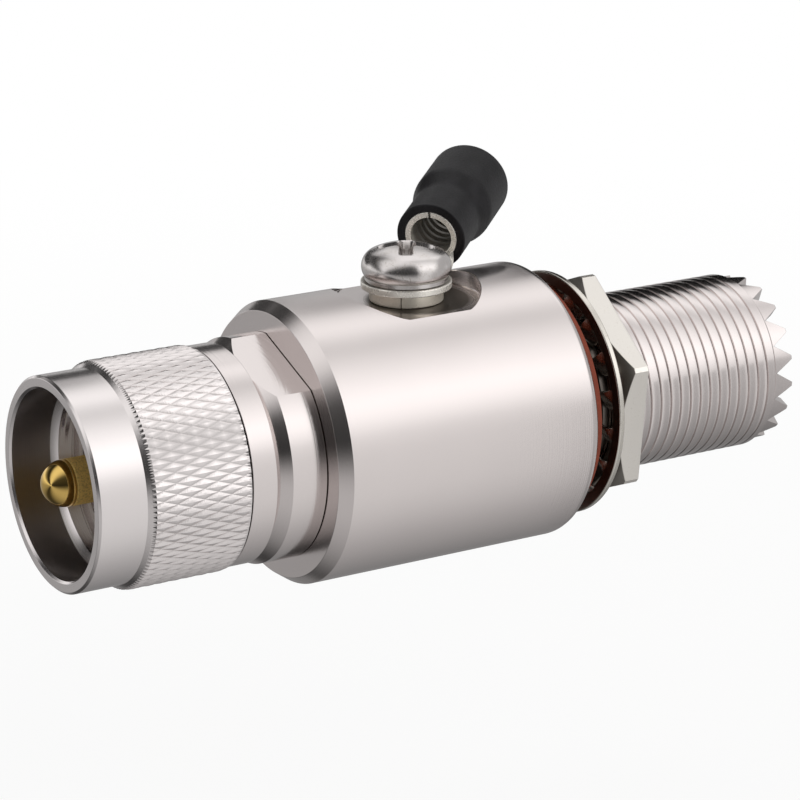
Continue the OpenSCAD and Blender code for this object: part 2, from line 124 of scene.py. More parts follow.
class BodySizes(PropertyGroup):
    """Turned body and its ground pocket."""
    chamfer_length: length("Chamfer length", "Front chamfer along the axis", 1.05)
    chamfer_depth: length("Chamfer depth", "Front chamfer across the axis", 0.73)
    rear_round: length("Rear rounding", "Rounded edge beside the panel", 0.8)
    edge: length("Edge", "Rounding of the turned edges", 0.05)
    tap_radius: length("Tap radius", "Tapped hole in each end", 7.9575)
    pocket_radius: length("Pocket radius", "Spot-faced pocket under the ground screw", 6.4)
    pocket_depth: length("Pocket depth", "Pocket floor below the top of the body", 1.38)
    pocket_fillet: length("Pocket fillet", "Fillet round the pocket's floor", 0.12)
    hole_radius: length("Hole radius", "Tapped hole for the ground screw", 2.06)
    hole_depth: length("Hole depth", "Depth of the visible part of that hole", 2.6)
    hole_chamfer: length("Hole chamfer", "Chamfer at the mouth of that hole", 0.25)
    # Painted shade on the pocket's floor, in place of the dark reflection of the washer and lug
    painted_shade_radius: length("Stain radius", "Middle reach of the dirt on the pocket's floor", 5.0)
    painted_shade_shift: length("Stain shift", "Shift of that dirt away from the stain turn", 1.1)
    painted_shade_turn: turn("Stain turn", "Direction the dirt is shifted from, from +X towards +Y", 149)
    painted_shade_fade: length("Stain fade", "Width of the dirt's soft edge", 0.7)


class HubSizes(PropertyGroup):
    """Plug hub between the body and the coupling nut."""
    hub_length: length("Hub length", "Plain part beside the body", 3.25)
    flat_height: length("Flat height", "Wrench flat above the axis", 8.77)
    flat_turn: turn("Flat turn", "Direction that the first wrench flat faces", 111)
    seam: length("Seam", "Narrow groove beside the body", 0.07)
    groove_length: length("Groove length", "Coned groove along the axis", 1.3)
    groove_depth: length("Groove depth", "Groove below the hub", 1.05)
    collar_length: length("Collar length", "Collar behind the coupling nut", 2.25)
    collar_radius: length("Collar radius", "Radius of that collar", 9.43)
    collar_edge: length("Collar edge", "Rounding of the collar's edges", 0.05)
    neck_length: length("Neck length", "Neck that the coupling nut turns on", 2.25)
    neck_radius: length("Neck radius", "Radius of that neck", 6.8)
    spigot_radius: length("Spigot radius", "Spigot under the outer contact", 5.2)
    bore_radius: length("Bore radius", "Bore through the hub", 4.2)
    thread_radius: length("Thread radius", "Thread in the body", 7.9375)


class NutSizes(PropertyGroup):
    """Knurled coupling nut."""
    front_length: length("Front length", "Smooth front band", 4.3)
    front_radius: length("Front radius", "Radius of that band", 9.1)
    bevel_length: length("Bevel length", "Bevel in front of the knurl", 0.6)
    edge: length("Edge", "Edge chamfers", 0.2)
    diamonds: count("Diamonds", "Knurl diamonds round the nut", 68)
    diamond_rows: count("Diamond rows", "Knurl grid steps along the nut, eight to a diamond", 30)
    knurl_depth: length("Knurl depth", "Depth of the knurl's grooves", 0.15)
    counterbore_radius: length("Counterbore radius", "Smooth mouth", 8.0)
    counterbore_length: length("Counterbore length", "Depth of the mouth", 3.7)
    thread_radius: length("Thread radius", "Crest of the inner thread", 7.43)
    thread_depth: length("Thread depth", "Depth of the inner thread", 0.5)
    thread_lead: length("Thread lead", "Lead-in chamfer of that thread", 0.5)
    lip_length: length("Lip length", "Rear lip", 1.85)
    lip_radius: length("Lip radius", "Bore of the rear lip", 6.86)


class ContactSizes(PropertyGroup):
    """Pin and outer contact of the plug."""
    nose_radius: length("Nose radius", "Ball nose of the pin", 1.97)
    neck_radius: length("Neck radius", "Joint between the ball and the shank", 1.95)
    pin_radius: length("Pin radius", "Shank of the pin", 1.98)
    pin_tail_radius: length("Tail radius", "Tail inside the insulator", 1.2)
    sleeve_radius: length("Sleeve radius", "Outer contact in front of its flange", 6.05)
    sleeve_bore: length("Sleeve bore", "Bore of the outer contact", 5.22)
    flange_length: length("Flange length", "Flange that holds the coupling nut", 1.2)


class JackSizes(PropertyGroup):
    """Threaded jack barrel."""
    pitch: length("Pitch", "Thread pitch", 1.0583)
    thread_depth: length("Thread depth", "Depth of the thread's grooves", 0.2)
    crest_share: share("Crest share", "Share of the pitch that is crest", 0.8)
    crest_bow: length("Crest bow", "Fall of the crest from its middle to its edges", 0.03)
    thread_length: length("Thread length", "Barrel from the body to the crown", 22.1)
    lead: length("Lead", "Chamfer at the end of the thread", 0.35)
    crown_radius: length("Crown radius", "Radius of the crown of teeth", 7.5475)
    crown_land: length("Crown land", "Plain land below the notches", 0.15)
    teeth: count("Teeth", "Teeth in the crown", 19)
    tooth_tip: length("Tooth tip", "Width of a tooth's tip", 0.35)
    tooth_edge: length("Tooth edge", "Broken edge of the teeth", 0.06)
    socket_radius: length("Socket radius", "Bore of the mouth", 6.3)
    socket_depth: length("Socket depth", "Insulator's face below the crown", 7.0)
    seat_radius: length("Seat radius", "Bore round the insulator", 6.1)
    seat_length: length("Seat length", "Length of that bore", 12.0)
    bore_radius: length("Bore radius", "Bore through the barrel", 4.2)


class PanelSizes(PropertyGroup):
    """Gasket, star washer and jam nut of the panel mount."""
    gasket_radius: length("Gasket radius", "Outer edge of the gasket", 10.95)
    gasket_edge: length("Gasket edge", "Rounding of the gasket", 0.22)
    ring_radius: length("Ring radius", "Inner edge of the star washer's ring", 9.75)
    ring_thickness: length("Ring thickness", "Thickness of the star washer", 0.55)
    tip_radius: length("Tip radius", "Tips of the star washer's teeth", 8.1475)
    star_teeth: count("Star teeth", "Teeth of the star washer", 18)
    tooth_width: length("Tooth width", "Width of a tooth", 2.3)
    tooth_twist: turn("Tooth twist", "Twist of a tooth", 32)
    jam_flat: length("Jam flat", "Flat of the jam nut above the axis", 9.3475)
    jam_turn: turn("Jam turn", "Direction of one corner of the jam nut", 96.7)
    jam_face: length("Jam face", "Radius of the chamfered face", 9.0475)
    jam_slope: turn("Jam slope", "Slope of that chamfer", 37)
    jam_bore: length("Jam bore", "Bore of the jam nut", 7.9975)
    jam_edge: length("Jam edge", "Broken edge of the rear face", 0.09)


class GroundSizes(PropertyGroup):
    """Ground screw, spring washer, ring lug and its sleeve."""
    setback: length("Setback", "Ground screw in front of the rear face", 12.15)
    shank_radius: length("Shank radius", "Ground screw", 2.0)
    shank_pitch: length("Shank pitch", "Thread pitch of the ground screw", 0.7)
    head_radius: length("Head radius", "Widest part of the screw head", 3.87)
    head_height: length("Head height", "Height of the screw head", 2.95)
    head_rise: length("Head rise", "Dome above the packed head", 0.3)
    head_round: length("Head round", "Rounding of the head's edge", 1.45)
    head_round_height: length("Round height", "Height of that rounding's centre", 1.25)
    head_inset: length("Head inset", "Inset of the head's underside", 0.25)
    recess_length: length("Recess length", "Length of the cross recess", 5.0)
    recess_width: length("Recess width", "Width of the cross recess", 1.25)
    recess_depth: length("Recess depth", "Depth of the cross recess", 1.5)
    recess_turn: turn("Recess turn", "Turn of the cross recess", 58)
    washer_bore: length("Washer bore", "Hole of the spring washer and the lug", 2.15)
    spring_radius: length("Spring radius", "Outer edge of the spring washer", 3.2)
    split: turn("Split", "Angle left open in the spring washer", 1.6)
    split_turn: turn("Split turn", "Direction of the split, from +X towards +Y", 231)
    lug_turn: turn("Lug turn", "Direction of the lug, from +X towards +Y", 41)
    ring_radius: length("Ring radius", "Outer edge of the lug's ring", 3.92)
    sheet: length("Sheet", "Thickness of the lug's sheet", 0.6)
    bend_at: length("Bend at", "Bend from the ground screw", 5.95)
    bend: turn("Bend", "Upward bend of the barrel", 11)
    throat: length("Throat", "Bend to the barrel's mouth", 1.4)
    tongue_width: length("Tongue width", "Width of the lug's neck", 4.3)
    barrel_radius: length("Barrel radius", "Crimp barrel outside", 2.35)
    barrel_bore: length("Barrel bore", "Crimp barrel inside", 1.85)
    barrel_length: length("Barrel length", "Length of the crimp barrel", 6.4)
    seam: length("Seam", "Open seam of the barrel", 0.25)
    serrations: count("Serrations", "Grooves inside the barrel", 6)
    grip_radius: length("Grip radius", "Sleeve over the barrel", 3.1)
    grip_length: length("Grip length", "Length of that part", 4.4)
    flare_radius: length("Flare radius", "Flared wire entry", 3.65)
    flare_slope: length("Flare slope", "Length of the flare's slope", 2.0)
    sleeve_length: length("Sleeve length", "Whole length of the sleeve", 11.9)
    sleeve_wall: length("Sleeve wall", "Wall of the flared part", 0.7)


class FinishColours(PropertyGroup):
    """Colours of the finishes."""
    nickel: colour("Nickel", "Plated turned parts", 0.79, 0.728, 0.712)
    bright_nickel: colour("Bright nickel", "Coupling nut and outer contact", 0.835, 0.783, 0.773)
    cream_nickel: colour("Cream nickel", "Jam nut", 0.93, 0.885, 0.825)
    washer: colour("Washer steel", "Star washer", 0.74, 0.70, 0.64)
    screw: colour("Screw steel", "Ground screw", 0.73, 0.69, 0.675)
    spring: colour("Spring steel", "Spring washer", 0.94, 0.87, 0.75)
    tin: colour("Tin", "Ring lug", 0.91, 0.87, 0.80)
    stain: colour("Stain", "Handling marks on steel", 0.30, 0.24, 0.16)
    # Painted shade: the dark colour laid into grooves, recesses, bores and faces between parts
    soil: colour("Soil", "Dirt in grooves and recesses", 0.085, 0.07, 0.055)
    gold: colour("Gold", "Contacts", 0.83, 0.56, 0.17)
    silicone: colour("Silicone", "Panel gasket", 0.24, 0.05, 0.025)
    vinyl: colour("Vinyl", "Lug sleeve", 0.0065, 0.0060, 0.0068)
    fluoropolymer: colour("Fluoropolymer", "Insulators", 0.78, 0.76, 0.72)
    ceramic: colour("Ceramic", "Gas tube sleeve", 0.80, 0.78, 0.74)


class StageSettings(PropertyGroup):
    """Floor, light and camera."""
    floor_drop: length("Floor drop", "Floor below the part", 26)
    floor_size: length("Floor size", "Width of the floor", 2400)
    tent_radius: length("Tent radius", "Light tent round the connector axis", 700)
    tent_length: length("Tent length", "Light tent to either side", 12000)
    card_radius: length("Card radius", "Near cards round the connector axis", 80)
    world_fill: share("World fill", "Light of the surroundings on plain surfaces", 0.62)
    lens: FloatProperty(name="Lens", description="Focal length in millimetres", default=147.456, min=1.0)
    floor_colour: colour("Floor", "Pale floor", 0.90, 0.90, 0.89)


class ArrestorSettings(PropertyGroup):
    """All sizes and colours."""
    body: PointerProperty(type=BodySizes)
    hub: PointerProperty(type=HubSizes)
    nut: PointerProperty(type=NutSizes)
    contacts: PointerProperty(type=ContactSizes)
    jack: PointerProperty(type=JackSizes)
    panel: PointerProperty(type=PanelSizes)
    ground: PointerProperty(type=GroundSizes)
    colours: PointerProperty(type=FinishColours)
    stage: PointerProperty(type=StageSettings)


def line(radius, along, angle):
    """Points round the connector axis: x = along, y = radius cos(angle), z = radius sin(angle)."""
    return np.stack(np.broadcast_arrays(along, radius * np.cos(angle), radius * np.sin(angle)), -1)


def screw_line(ground):
    """A placing function round the ground screw's axis, with heights along +Z."""
    def place(radius, height, angle):
        x = radius * np.cos(angle) - ground.setback
        return np.stack(np.broadcast_arrays(x, radius * np.sin(angle), height), -1)
    return place


def lug_sheet(ground):
    """A placing function for the flat lug: along from the screw, across, and up from the underside."""
    cos_turn = math.cos(ground.lug_turn)
    sin_turn = math.sin(ground.lug_turn)
    base = low("ground_lug")[2]

    def place(along, across, up):
        x = along * cos_turn - across * sin_turn - ground.setback
        y = along * sin_turn + across * cos_turn
        return np.stack(np.broadcast_arrays(x, y, base + up), -1)
    return place


def bent_sheet(ground):
    """A placing function for the bent part: along from the bend, across, and up from the underside."""
    flat = lug_sheet(ground)
    cos_bend = math.cos(ground.bend)
    sin_bend = math.sin(ground.bend)

    def place(along, across, up):
        forward = ground.bend_at + along * cos_bend - up * sin_bend
        return flat(forward, across, along * sin_bend + up * cos_bend)
    return place


def barrel_line(ground):
    """A placing function round the crimp barrel's axis, along from its mouth."""
    bent = bent_sheet(ground)

    def place(radius, along, angle):
        up = ground.barrel_radius + radius * np.sin(angle)
        return bent(ground.throat + along, radius * np.cos(angle), up)
    return place


def whole_turn(steps):
    """Evenly spaced angles of one turn, without the last."""
    return TAU * np.arange(steps) / steps


def rounded(corners, closed=True, steps=6):
    """An outline of (radius, station) points from corners (radius, station, rounding).

    Each corner becomes a rational quadratic curve between a point on each of its sides, weighted by the
    sine of half the corner's angle, which makes it an arc. It takes up no more than the largest share of
    either side. A guard point further along each side keeps long faces flat in smooth shading.
    """
    largest_share = 0.42
    guard = 1.15
    corners = np.asarray(corners, float)
    place = corners[:, None, :2]
    before = np.roll(place, 1, 0) - place
    after = np.roll(place, -1, 0) - place
    before_len = np.linalg.norm(before, axis=2, keepdims=True)
    after_len = np.linalg.norm(after, axis=2, keepdims=True)
    before = before / before_len
    after = after / after_len
    half = np.arccos(np.clip(np.sum(before * after, 2, keepdims=True), -1, 1)) / 2
    reach = corners[:, None, 2:3] / np.tan(np.maximum(half, 0.01))
    reach = np.minimum(reach, largest_share * np.minimum(before_len, after_len))
    t = np.linspace(0, 1, steps + 1)[None, :, None]
    middle = 2 * np.sin(half) * t * (1 - t)
    arc = (1 - t) ** 2 * (place + before * reach) + middle * place + t ** 2 * (place + after * reach)
    arc = arc / ((1 - t) ** 2 + middle + t ** 2)
    lead = place + before * reach * guard
    trail = place + after * reach * guard
    outline = np.concatenate([lead, arc, trail], 1).reshape(-1, 2)
    step = np.linalg.norm(np.roll(outline, -1, 0) - outline, axis=1)
    fresh = step > MERGE
    if not closed:
        fresh[-1] = True
    return outline[fresh]


def smooth(value):
    """A step from 0 to 1 with level ends: 3 v squared less 2 v cubed, with v held between 0 and 1."""
    value = np.clip(value, 0, 1)
    return value * value * (3 - 2 * value)


class Skin:
    """Collects grids of points and makes one mesh of them."""

    def __init__(self):
        self.points = []
        self.soil = []
        self.faces = []
        self.size = 0

    def grid(self, points, wrap_rows=False, wrap_columns=False, keep=None, lean=None, soil=0.0):
        """Adds a grid of rows and columns of points.

        The painted shade of each point runs from 0 to 1. keep leaves out faces where it is false. lean
        splits every face into two triangles, along the diagonal from its first corner where it is true
        and along the other diagonal where it is false.
        """
        rows, columns = points.shape[:2]
        row = np.arange(rows if wrap_rows else rows - 1)[:, None]
        column = np.arange(columns if wrap_columns else columns - 1)[None, :]
        next_row = (row + 1) % rows * columns
        next_column = (column + 1) % columns
        row = row * columns
        faces = np.stack([row + column, row + next_column, next_row + next_column, next_row + column], -1)
        if keep is not None:
            faces = faces[keep]
        faces = faces.reshape(-1, 4) + self.size
        if lean is not None:
            first, second, third, fourth = faces.T
            lean = lean.reshape(-1)
            one = np.where(lean, [first, second, third], [first, second, fourth]).T
            two = np.where(lean, [first, third, fourth], [second, third, fourth]).T
            faces = np.concatenate([one, two])
        self.points.append(points.reshape(-1, 3))
        self.soil.append(np.broadcast_to(soil, (rows, columns)).ravel())
        self.faces.append(faces)
        self.size += rows * columns

    def turned(self, outline, place=line, steps=192, closed=True, soil=0.0):
        """Carries an outline of (radius, station) points round an axis."""
        points = place(outline[:, :1], outline[:, 1:], whole_turn(steps)[None, :])
        self.grid(points, wrap_rows=closed, wrap_columns=True, soil=soil)

    def thread(self, angles, start, turns, pitch, crest, cut, crest_share, place=line, bow=0.0,
               painted_shade_below=-math.inf):
        """A thread of one helical groove between two plain rings; returns the station of its end.

        The grid's columns follow the helix for whole turns and its rows cross one pitch: station = start
        + pitch x (angle / turn + share of pitch), radius = crest - bow x (share from the crest's middle /
        half crest) squared - cut x groove, where the groove is a V, flat below its full depth. Bow and
        groove fade out over an angle at both ends, where a wedge, from no width to one pitch, brings the
        helix to a plain ring. Stations below the last argument's station get heavy painted shade, and
        elsewhere the grooves get a little painted shade.
        """
        full_depth = 0.82
        fade = 1.2
        flank = (1 - crest_share) / 2
        bank = (0.5 - flank) * np.array([0, 0.35, 0.7, 0.93, 1])
        valley = 0.5 + flank * np.array([-0.6, -0.18, 0.18, 0.6])
        share_points = np.concatenate([bank, valley, 1 - bank[::-1]])[:, None]
        away = np.minimum(share_points, 1 - share_points) / (0.5 - flank)
        groove = np.clip(1 - np.abs(share_points - 0.5) / flank, 0, 1)
        groove = np.minimum(groove / full_depth, 1)
        fall = bow * np.minimum(away, 1) ** 2 + cut * groove
        steps = len(angles)
        number = np.arange((turns - 1) * steps + 1)
        angle = (angles[number % steps] + TAU * (number // steps))[None, :]
        ease = smooth((angle - angle[0, 0]) / fade) * smooth((angle[0, -1] - angle) / fade)
        climb = pitch * (angle - angle[0, 0]) / TAU
        station = start + climb + pitch * share_points
        self.grid(place(crest - fall * ease, station, angle),
                  soil=np.where(station < painted_shade_below, 0.9, 0.1 * groove * ease))
        first = np.append(angles, angles[0] + TAU)[None, :]
        widen = pitch * (first - first[0, 0]) / TAU
        end = start + turns * pitch
        self.grid(place(crest, start + share_points * widen, first), soil=0.9 * (start < painted_shade_below))
        self.grid(place(crest, end - (1 - share_points) * (pitch - widen), first))
        return end

    def piece(self, name, material, body, *nodes, slot, sharp=20):
        """Merges doubles, turns the faces outwards, sets the shading and hands the piece to its body.

        An edge that doesn't have two faces is an error.
        """
        mesh = bpy.data.meshes.new(name)
        points = np.concatenate(self.points)
        corners = np.concatenate([faces.reshape(-1) for faces in self.faces])
        sizes = np.concatenate([np.full(len(faces), faces.shape[1]) for faces in self.faces])
        mesh.vertices.add(len(points))
        mesh.vertices.foreach_set("co", points.astype(np.float32).ravel())
        mesh.loops.add(len(corners))
        mesh.loops.foreach_set("vertex_index", corners.astype(np.int32))
        mesh.polygons.add(len(sizes))
        mesh.polygons.foreach_set("loop_start", (np.cumsum(sizes) - sizes).astype(np.int32))
        mesh.update(calc_edges=True)
        # Each point's painted shade, which the materials read
        soil = mesh.attributes.new("soil", "FLOAT", "POINT")
        soil.data.foreach_set("value", np.concatenate(self.soil).astype(np.float32))
        work = bmesh.new()
        work.from_mesh(mesh)
        bmesh.ops.remove_doubles(work, verts=work.verts, dist=4 * MERGE)
        bmesh.ops.dissolve_degenerate(work, edges=work.edges, dist=MERGE)
        bmesh.ops.recalc_face_normals(work, faces=work.faces)
        loose = sum(1 for edge in work.edges if not edge.is_manifold)
        if loose:
            raise ValueError(f"{name}: {loose} edges are open or shared")
        work.to_mesh(mesh)
        work.free()
        mesh.polygons.foreach_set("use_smooth", np.ones(len(mesh.polygons), bool))
        mesh.set_sharp_from_angle(angle=math.radians(sharp))
        mesh.materials.append(material)
        piece = bpy.data.objects.new(name, mesh)
        bpy.context.scene.collection.objects.link(piece)
        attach(piece, body)
        if nodes:
            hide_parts(*nodes)


class Value:
    """A shader socket whose arithmetic in Python adds Math nodes."""

    def __init__(self, nodes, socket):
        self.nodes = nodes
        self.socket = socket

    def maths(self, operation, *operands):
        """One Math node on this value and others."""
        sockets = dict(enumerate((self, *operands)))
        return self.nodes.node("ShaderNodeMath", {"operation": operation}, sockets)

    def __add__(self, other):
        return self.maths("ADD", other)

    __radd__ = __add__

    def __sub__(self, other):
        return self.maths("SUBTRACT", other)

    def __rsub__(self, other):
        return self.nodes.node("ShaderNodeMath", {"operation": "SUBTRACT"}, {0: other, 1: self})

    def __mul__(self, other):
        return self.maths("MULTIPLY", other)

    __rmul__ = __mul__

    def __truediv__(self, other):
        return self.maths("DIVIDE", other)

    def root(self):
        """The square root."""
        return self.maths("SQRT")

    def greatest(self, other):
        """The greater of two values."""
        return self.maths("MAXIMUM", other)

    def range(self, low_end, high_end):
        """0 at low_end, 1 at high_end, with level ends."""
        return self.nodes.node("ShaderNodeMapRange", {"interpolation_type": "SMOOTHSTEP"},
                               {"Value": self, "From Min": low_end, "From Max": high_end})


class Nodes:
    """A node tree that calls add to."""

    def __init__(self, tree):
        self.tree = tree

    def feed(self, node, sockets):
        """Sets or links a node's inputs, named with _ for a space, or numbered."""
        for key, value in sockets.items():
            socket = node.inputs[key.replace("_", " ") if isinstance(key, str) else key]
            if isinstance(value, Value):
                self.tree.links.new(value.socket, socket)
            elif socket.type == "RGBA" and len(value) == 3:
                socket.default_value = (*value, 1.0)
            else:
                socket.default_value = value

    def node(self, kind, settings, sockets, output=0):
        """Adds a node of a kind, with its settings first and then its sockets, and returns one output."""
        node = self.tree.nodes.new(kind)
        for key, value in settings.items():
            if key == "stops":
                self.stops(node.color_ramp.elements, value)
            else:
                setattr(node, key, value)
        self.feed(node, sockets)
        return Value(self, node.outputs[output])

    def stops(self, elements, stops):
        """Sets the places and shades of a colour ramp."""
        for place, shade in stops[1:-1]:
            elements.new(place).color = (*shade, 1.0)
        for end in (0, -1):
            place, shade = stops[end]
            elements[end].position = place
            elements[end].color = (*shade, 1.0)

    def place(self):
        """The piece's own coordinates."""
        return self.node("ShaderNodeTexCoord", {}, {}, "Object")

    def parts(self, vector):
        """The three parts of a vector."""
        split = self.node("ShaderNodeSeparateXYZ", {}, {"Vector": vector})
        return [Value(self, socket) for socket in split.socket.node.outputs]

    def soil(self):
        """How much painted shade the surface gets, from the piece's own points."""
        return self.node("ShaderNodeAttribute", {"attribute_name": "soil"}, {}, "Fac")

    def mix(self, factor, first, second):
        """A colour between two colours."""
        return self.node("ShaderNodeMix", {"data_type": "RGBA"}, {0: factor, 6: first, 7: second}, 2)

    def noise(self, place, grain, detail=2.0, roughness=0.5):
        """Cloudy noise with features about one grain wide."""
        return self.node("ShaderNodeTexNoise", {}, {"Vector": place, "Scale": 1 / grain, "Detail": detail,
                                                   "Roughness": roughness})

    def rings(self, station, grain):
        """Noise along one length, for turning marks."""
        return self.node("ShaderNodeTexNoise", {"noise_dimensions": "1D"},
                         {"W": station, "Scale": 1 / grain})

    def bump(self, height, distance):
        """A normal bent by a height."""
        return self.node("ShaderNodeBump", {}, {"Height": height, "Distance": distance})


class Recipe(Nodes):
    """A material made of nodes, round one Principled shader."""

    def __init__(self, name, **constants):
        self.material = bpy.data.materials.new(name)
        self.material.use_nodes = True
        super().__init__(self.material.node_tree)
        self.shader = self.tree.nodes["Principled BSDF"]
        self.feed(self.shader, constants)

    def done(self, **sockets):
        """Feeds the shader and returns the material."""
        self.feed(self.shader, sockets)
        return self.material

    def shown_as(self, surface):
        """Puts a shader in place of the Principled one."""
        self.feed(self.tree.nodes["Material Output"], {"Surface": surface})


def darker(shade, factor):
    """A colour scaled by a factor."""
    return tuple(factor * part for part in shade)


def turned_metal(name, shade, colours, rough, grain, depth):
    """Plated metal with turning marks, and dull painted shade where the piece's points ask for it.

    The marks are noise along x + radius, so they ring cylinders along the axis and end faces across it.
    """
    recipe = Recipe(name, Metallic=1.0)
    place = recipe.place()
    x, y, z = recipe.parts(place)
    radius = (y * y + z * z).root()
    marks = recipe.rings(x + radius, grain)
    haze = recipe.noise(place, 5 * MM, 3.0)
    soil = recipe.soil()
    tint = recipe.mix(soil, recipe.mix(haze, darker(shade, 0.955), shade), colours.soil)
    roughness = rough + 0.05 * (haze - 0.5) + 0.05 * (marks - 0.5) + 0.16 * soil
    return recipe.done(Base_Color=tint, Roughness=roughness, Normal=recipe.bump(marks, depth))


def marked_steel(name, shade, colours, rough, grain, stained, depth, metallic=1.0):
    """Bright steel with small pits and brownish handling marks, and dull painted shade where the piece asks.
    """
    recipe = Recipe(name, Metallic=metallic)
    place = recipe.place()
    speck = recipe.noise(place, grain, 4.0, 0.65)
    patch = recipe.noise(place, 1.1 * MM, 2.0)
    worn = speck.range(0.53, 0.68) * patch.range(0.42, 0.62)
    soil = recipe.soil()
    tint = recipe.mix(soil, recipe.mix(worn * stained, shade, colours.stain), colours.soil)
    roughness = rough + 0.2 * worn + 0.06 * patch + 0.16 * soil
    return recipe.done(Base_Color=tint, Roughness=roughness, Normal=recipe.bump(speck, depth))


def pin_gold(colours, shank_from):
    """Gold plating, polished on the ball and grainy on the shank behind it."""
    recipe = Recipe("pin_gold")
    place = recipe.place()
    shank = recipe.parts(place)[0].range(shank_from - 0.05 * MM, shank_from + 0.07 * MM)
    grain = recipe.noise(place, 0.16 * MM, 3.0, 0.6)
    haze = recipe.noise(place, 0.9 * MM, 2.0)
    tint = recipe.mix(haze, darker(colours.gold, 0.86), colours.gold)
    tint = recipe.mix(shank * grain.range(0.45, 0.62), tint, darker(colours.gold, 0.66))
    roughness = 0.05 + 0.05 * haze + shank * (0.4 + 0.2 * grain)
    return recipe.done(Base_Color=tint, Roughness=roughness, Metallic=1 - 0.45 * shank,
                       Normal=recipe.bump(grain * (0.05 + 0.95 * shank), 0.03 * MM))


def soft_material(name, shade, pale, rough, grain, depth, mottle):
    """Rubber or plastic: a colour mottled with a paler one, and a fine grained surface."""
    recipe = Recipe(name, Specular_IOR_Level=0.2)
    place = recipe.place()
    grains = recipe.noise(place, grain, 3.0)
    haze = recipe.noise(place, mottle, 2.0)
    tint = recipe.mix(haze.range(0.3, 0.7), shade, pale)
    roughness = rough + 0.16 * (grains - 0.5) + 0.1 * (haze - 0.5)
    return recipe.done(Base_Color=tint, Roughness=roughness, Normal=recipe.bump(grains, depth))


class ArrestorOperator:
    """What every building operator shares."""
    bl_options = {"REGISTER", "UNDO"}

    def execute(self, context):
        self.build(context.scene.arrestor)
        return {"FINISHED"}


class ARRESTOR_OT_body(ArrestorOperator, Operator):
    """Turned body with the spot-faced ground pocket"""
    bl_idname = "arrestor.body"
    bl_label = "Body"

    def build(self, settings):
        """The body is an outline carried round the axis, but for a window on top that holds the pocket.

        In the window, a grid runs from the window's edge to the pocket's outline on the cylinder, down
        the wall and across the floor to the tapped hole. The outline is a circle cut where the floor runs
        out of the cylinder. Painted shade, standing in for the dark reflection of the washer and lug, lies
        on the floor within the shade radius - the shade shift x cos(bearing - the shade turn).
        """
        sizes = settings.body
        ground = settings.ground
        radius = high("body")[2]
        front = low("body")[0]
        tap = sizes.tap_radius
        edge = sizes.edge
        floor = radius - sizes.pocket_depth
        # Columns of a whole turn, columns of the window to either side of the top, and rows of the window
        columns = 400
        half = 45
        rows = 72
        wide = radius * math.sin(half * TAU / columns)
        x_from = -ground.setback - wide
        x_to = -ground.setback + wide
        skin = Skin()
        skin.turned(rounded([
            (radius, x_to, 0), (radius, 0, sizes.rear_round), (tap, 0, 0), (tap, front, 0),
            (radius - sizes.chamfer_depth, front, edge), (radius, front + sizes.chamfer_length, edge),
            (radius, x_from, 0),
        ], closed=False), steps=columns, closed=False)
        x = np.linspace(x_from, x_to, rows + 1)
        spread = TAU * np.arange(columns // 4 + half, columns // 4 - half + columns + 1) / columns
        skin.grid(line(radius, x[:, None], spread[None, :]))
        top = TAU * np.arange(columns // 4 - half, columns // 4 + half + 1) / columns
        edge_x = np.concatenate([np.full(2 * half, x_from), x[:-1], np.full(2 * half, x_to), x[:0:-1]])
        edge_angle = np.concatenate([top[:-1], np.full(rows, top[-1]), top[:0:-1], np.full(rows, top[0])])
        bearing = np.arctan2(radius * np.cos(edge_angle), edge_x + ground.setback)
        aside = np.sin(bearing)
        run_out = math.sqrt(radius ** 2 - floor ** 2)
        rim = np.minimum(sizes.pocket_radius, run_out / np.maximum(np.abs(aside), 0.01))
        wall = np.sqrt(radius ** 2 - (rim * aside) ** 2) - floor
        broken = np.minimum(edge, 0.3 * wall)
        fillet = np.minimum(sizes.pocket_fillet, 0.3 * wall)
        outer = rim + broken
        rim_angle = np.arccos(outer * aside / radius)
        rim_x = outer * np.cos(bearing) - ground.setback
        t = np.linspace(0, 1, 15)[:, None]
        window = line(radius, edge_x + t * (rim_x - edge_x), edge_angle + t * (rim_angle - edge_angle))
        skin.grid(window, wrap_columns=True)
        hole = sizes.hole_radius
        mouth = hole + sizes.hole_chamfer
        bottom = floor - sizes.hole_depth
        across = np.linspace(0, 1, 9)[:, None]
        lip = np.sqrt(radius ** 2 - (outer * aside) ** 2)
        fill = np.ones_like(rim)
        plan = np.concatenate([
            [outer, rim, rim, rim - 0.3 * fillet], (rim - fillet) + across * (mouth - rim + fillet),
            np.outer([hole, hole, 0], fill),
        ])
        height = np.concatenate([
            [lip, np.maximum(floor + wall - broken, floor), floor + fillet, floor + 0.3 * fillet],
            np.full((len(across), len(rim)), floor),
            np.outer([floor - sizes.hole_chamfer, bottom, bottom], fill),
        ])
        # Painted shade on the floor, in place of the dark reflection of the washer and lug
        stain = sizes.painted_shade_radius - sizes.painted_shade_shift * np.cos(bearing - sizes.painted_shade_turn)
        on_floor = height < floor + fillet + 0.01 * MM
        soil = np.where(on_floor, smooth((stain - plan) / sizes.painted_shade_fade), 0)
        skin.grid(screw_line(ground)(plan, height, bearing), wrap_columns=True, soil=soil)
        colours = settings.colours
        metal = turned_metal("satin_nickel", colours.nickel, colours,
                             rough=0.2, grain=0.16 * MM, depth=0.0035 * MM)
        skin.piece("body_shell", metal, "arrestor", "body", slot="nickel_satin")


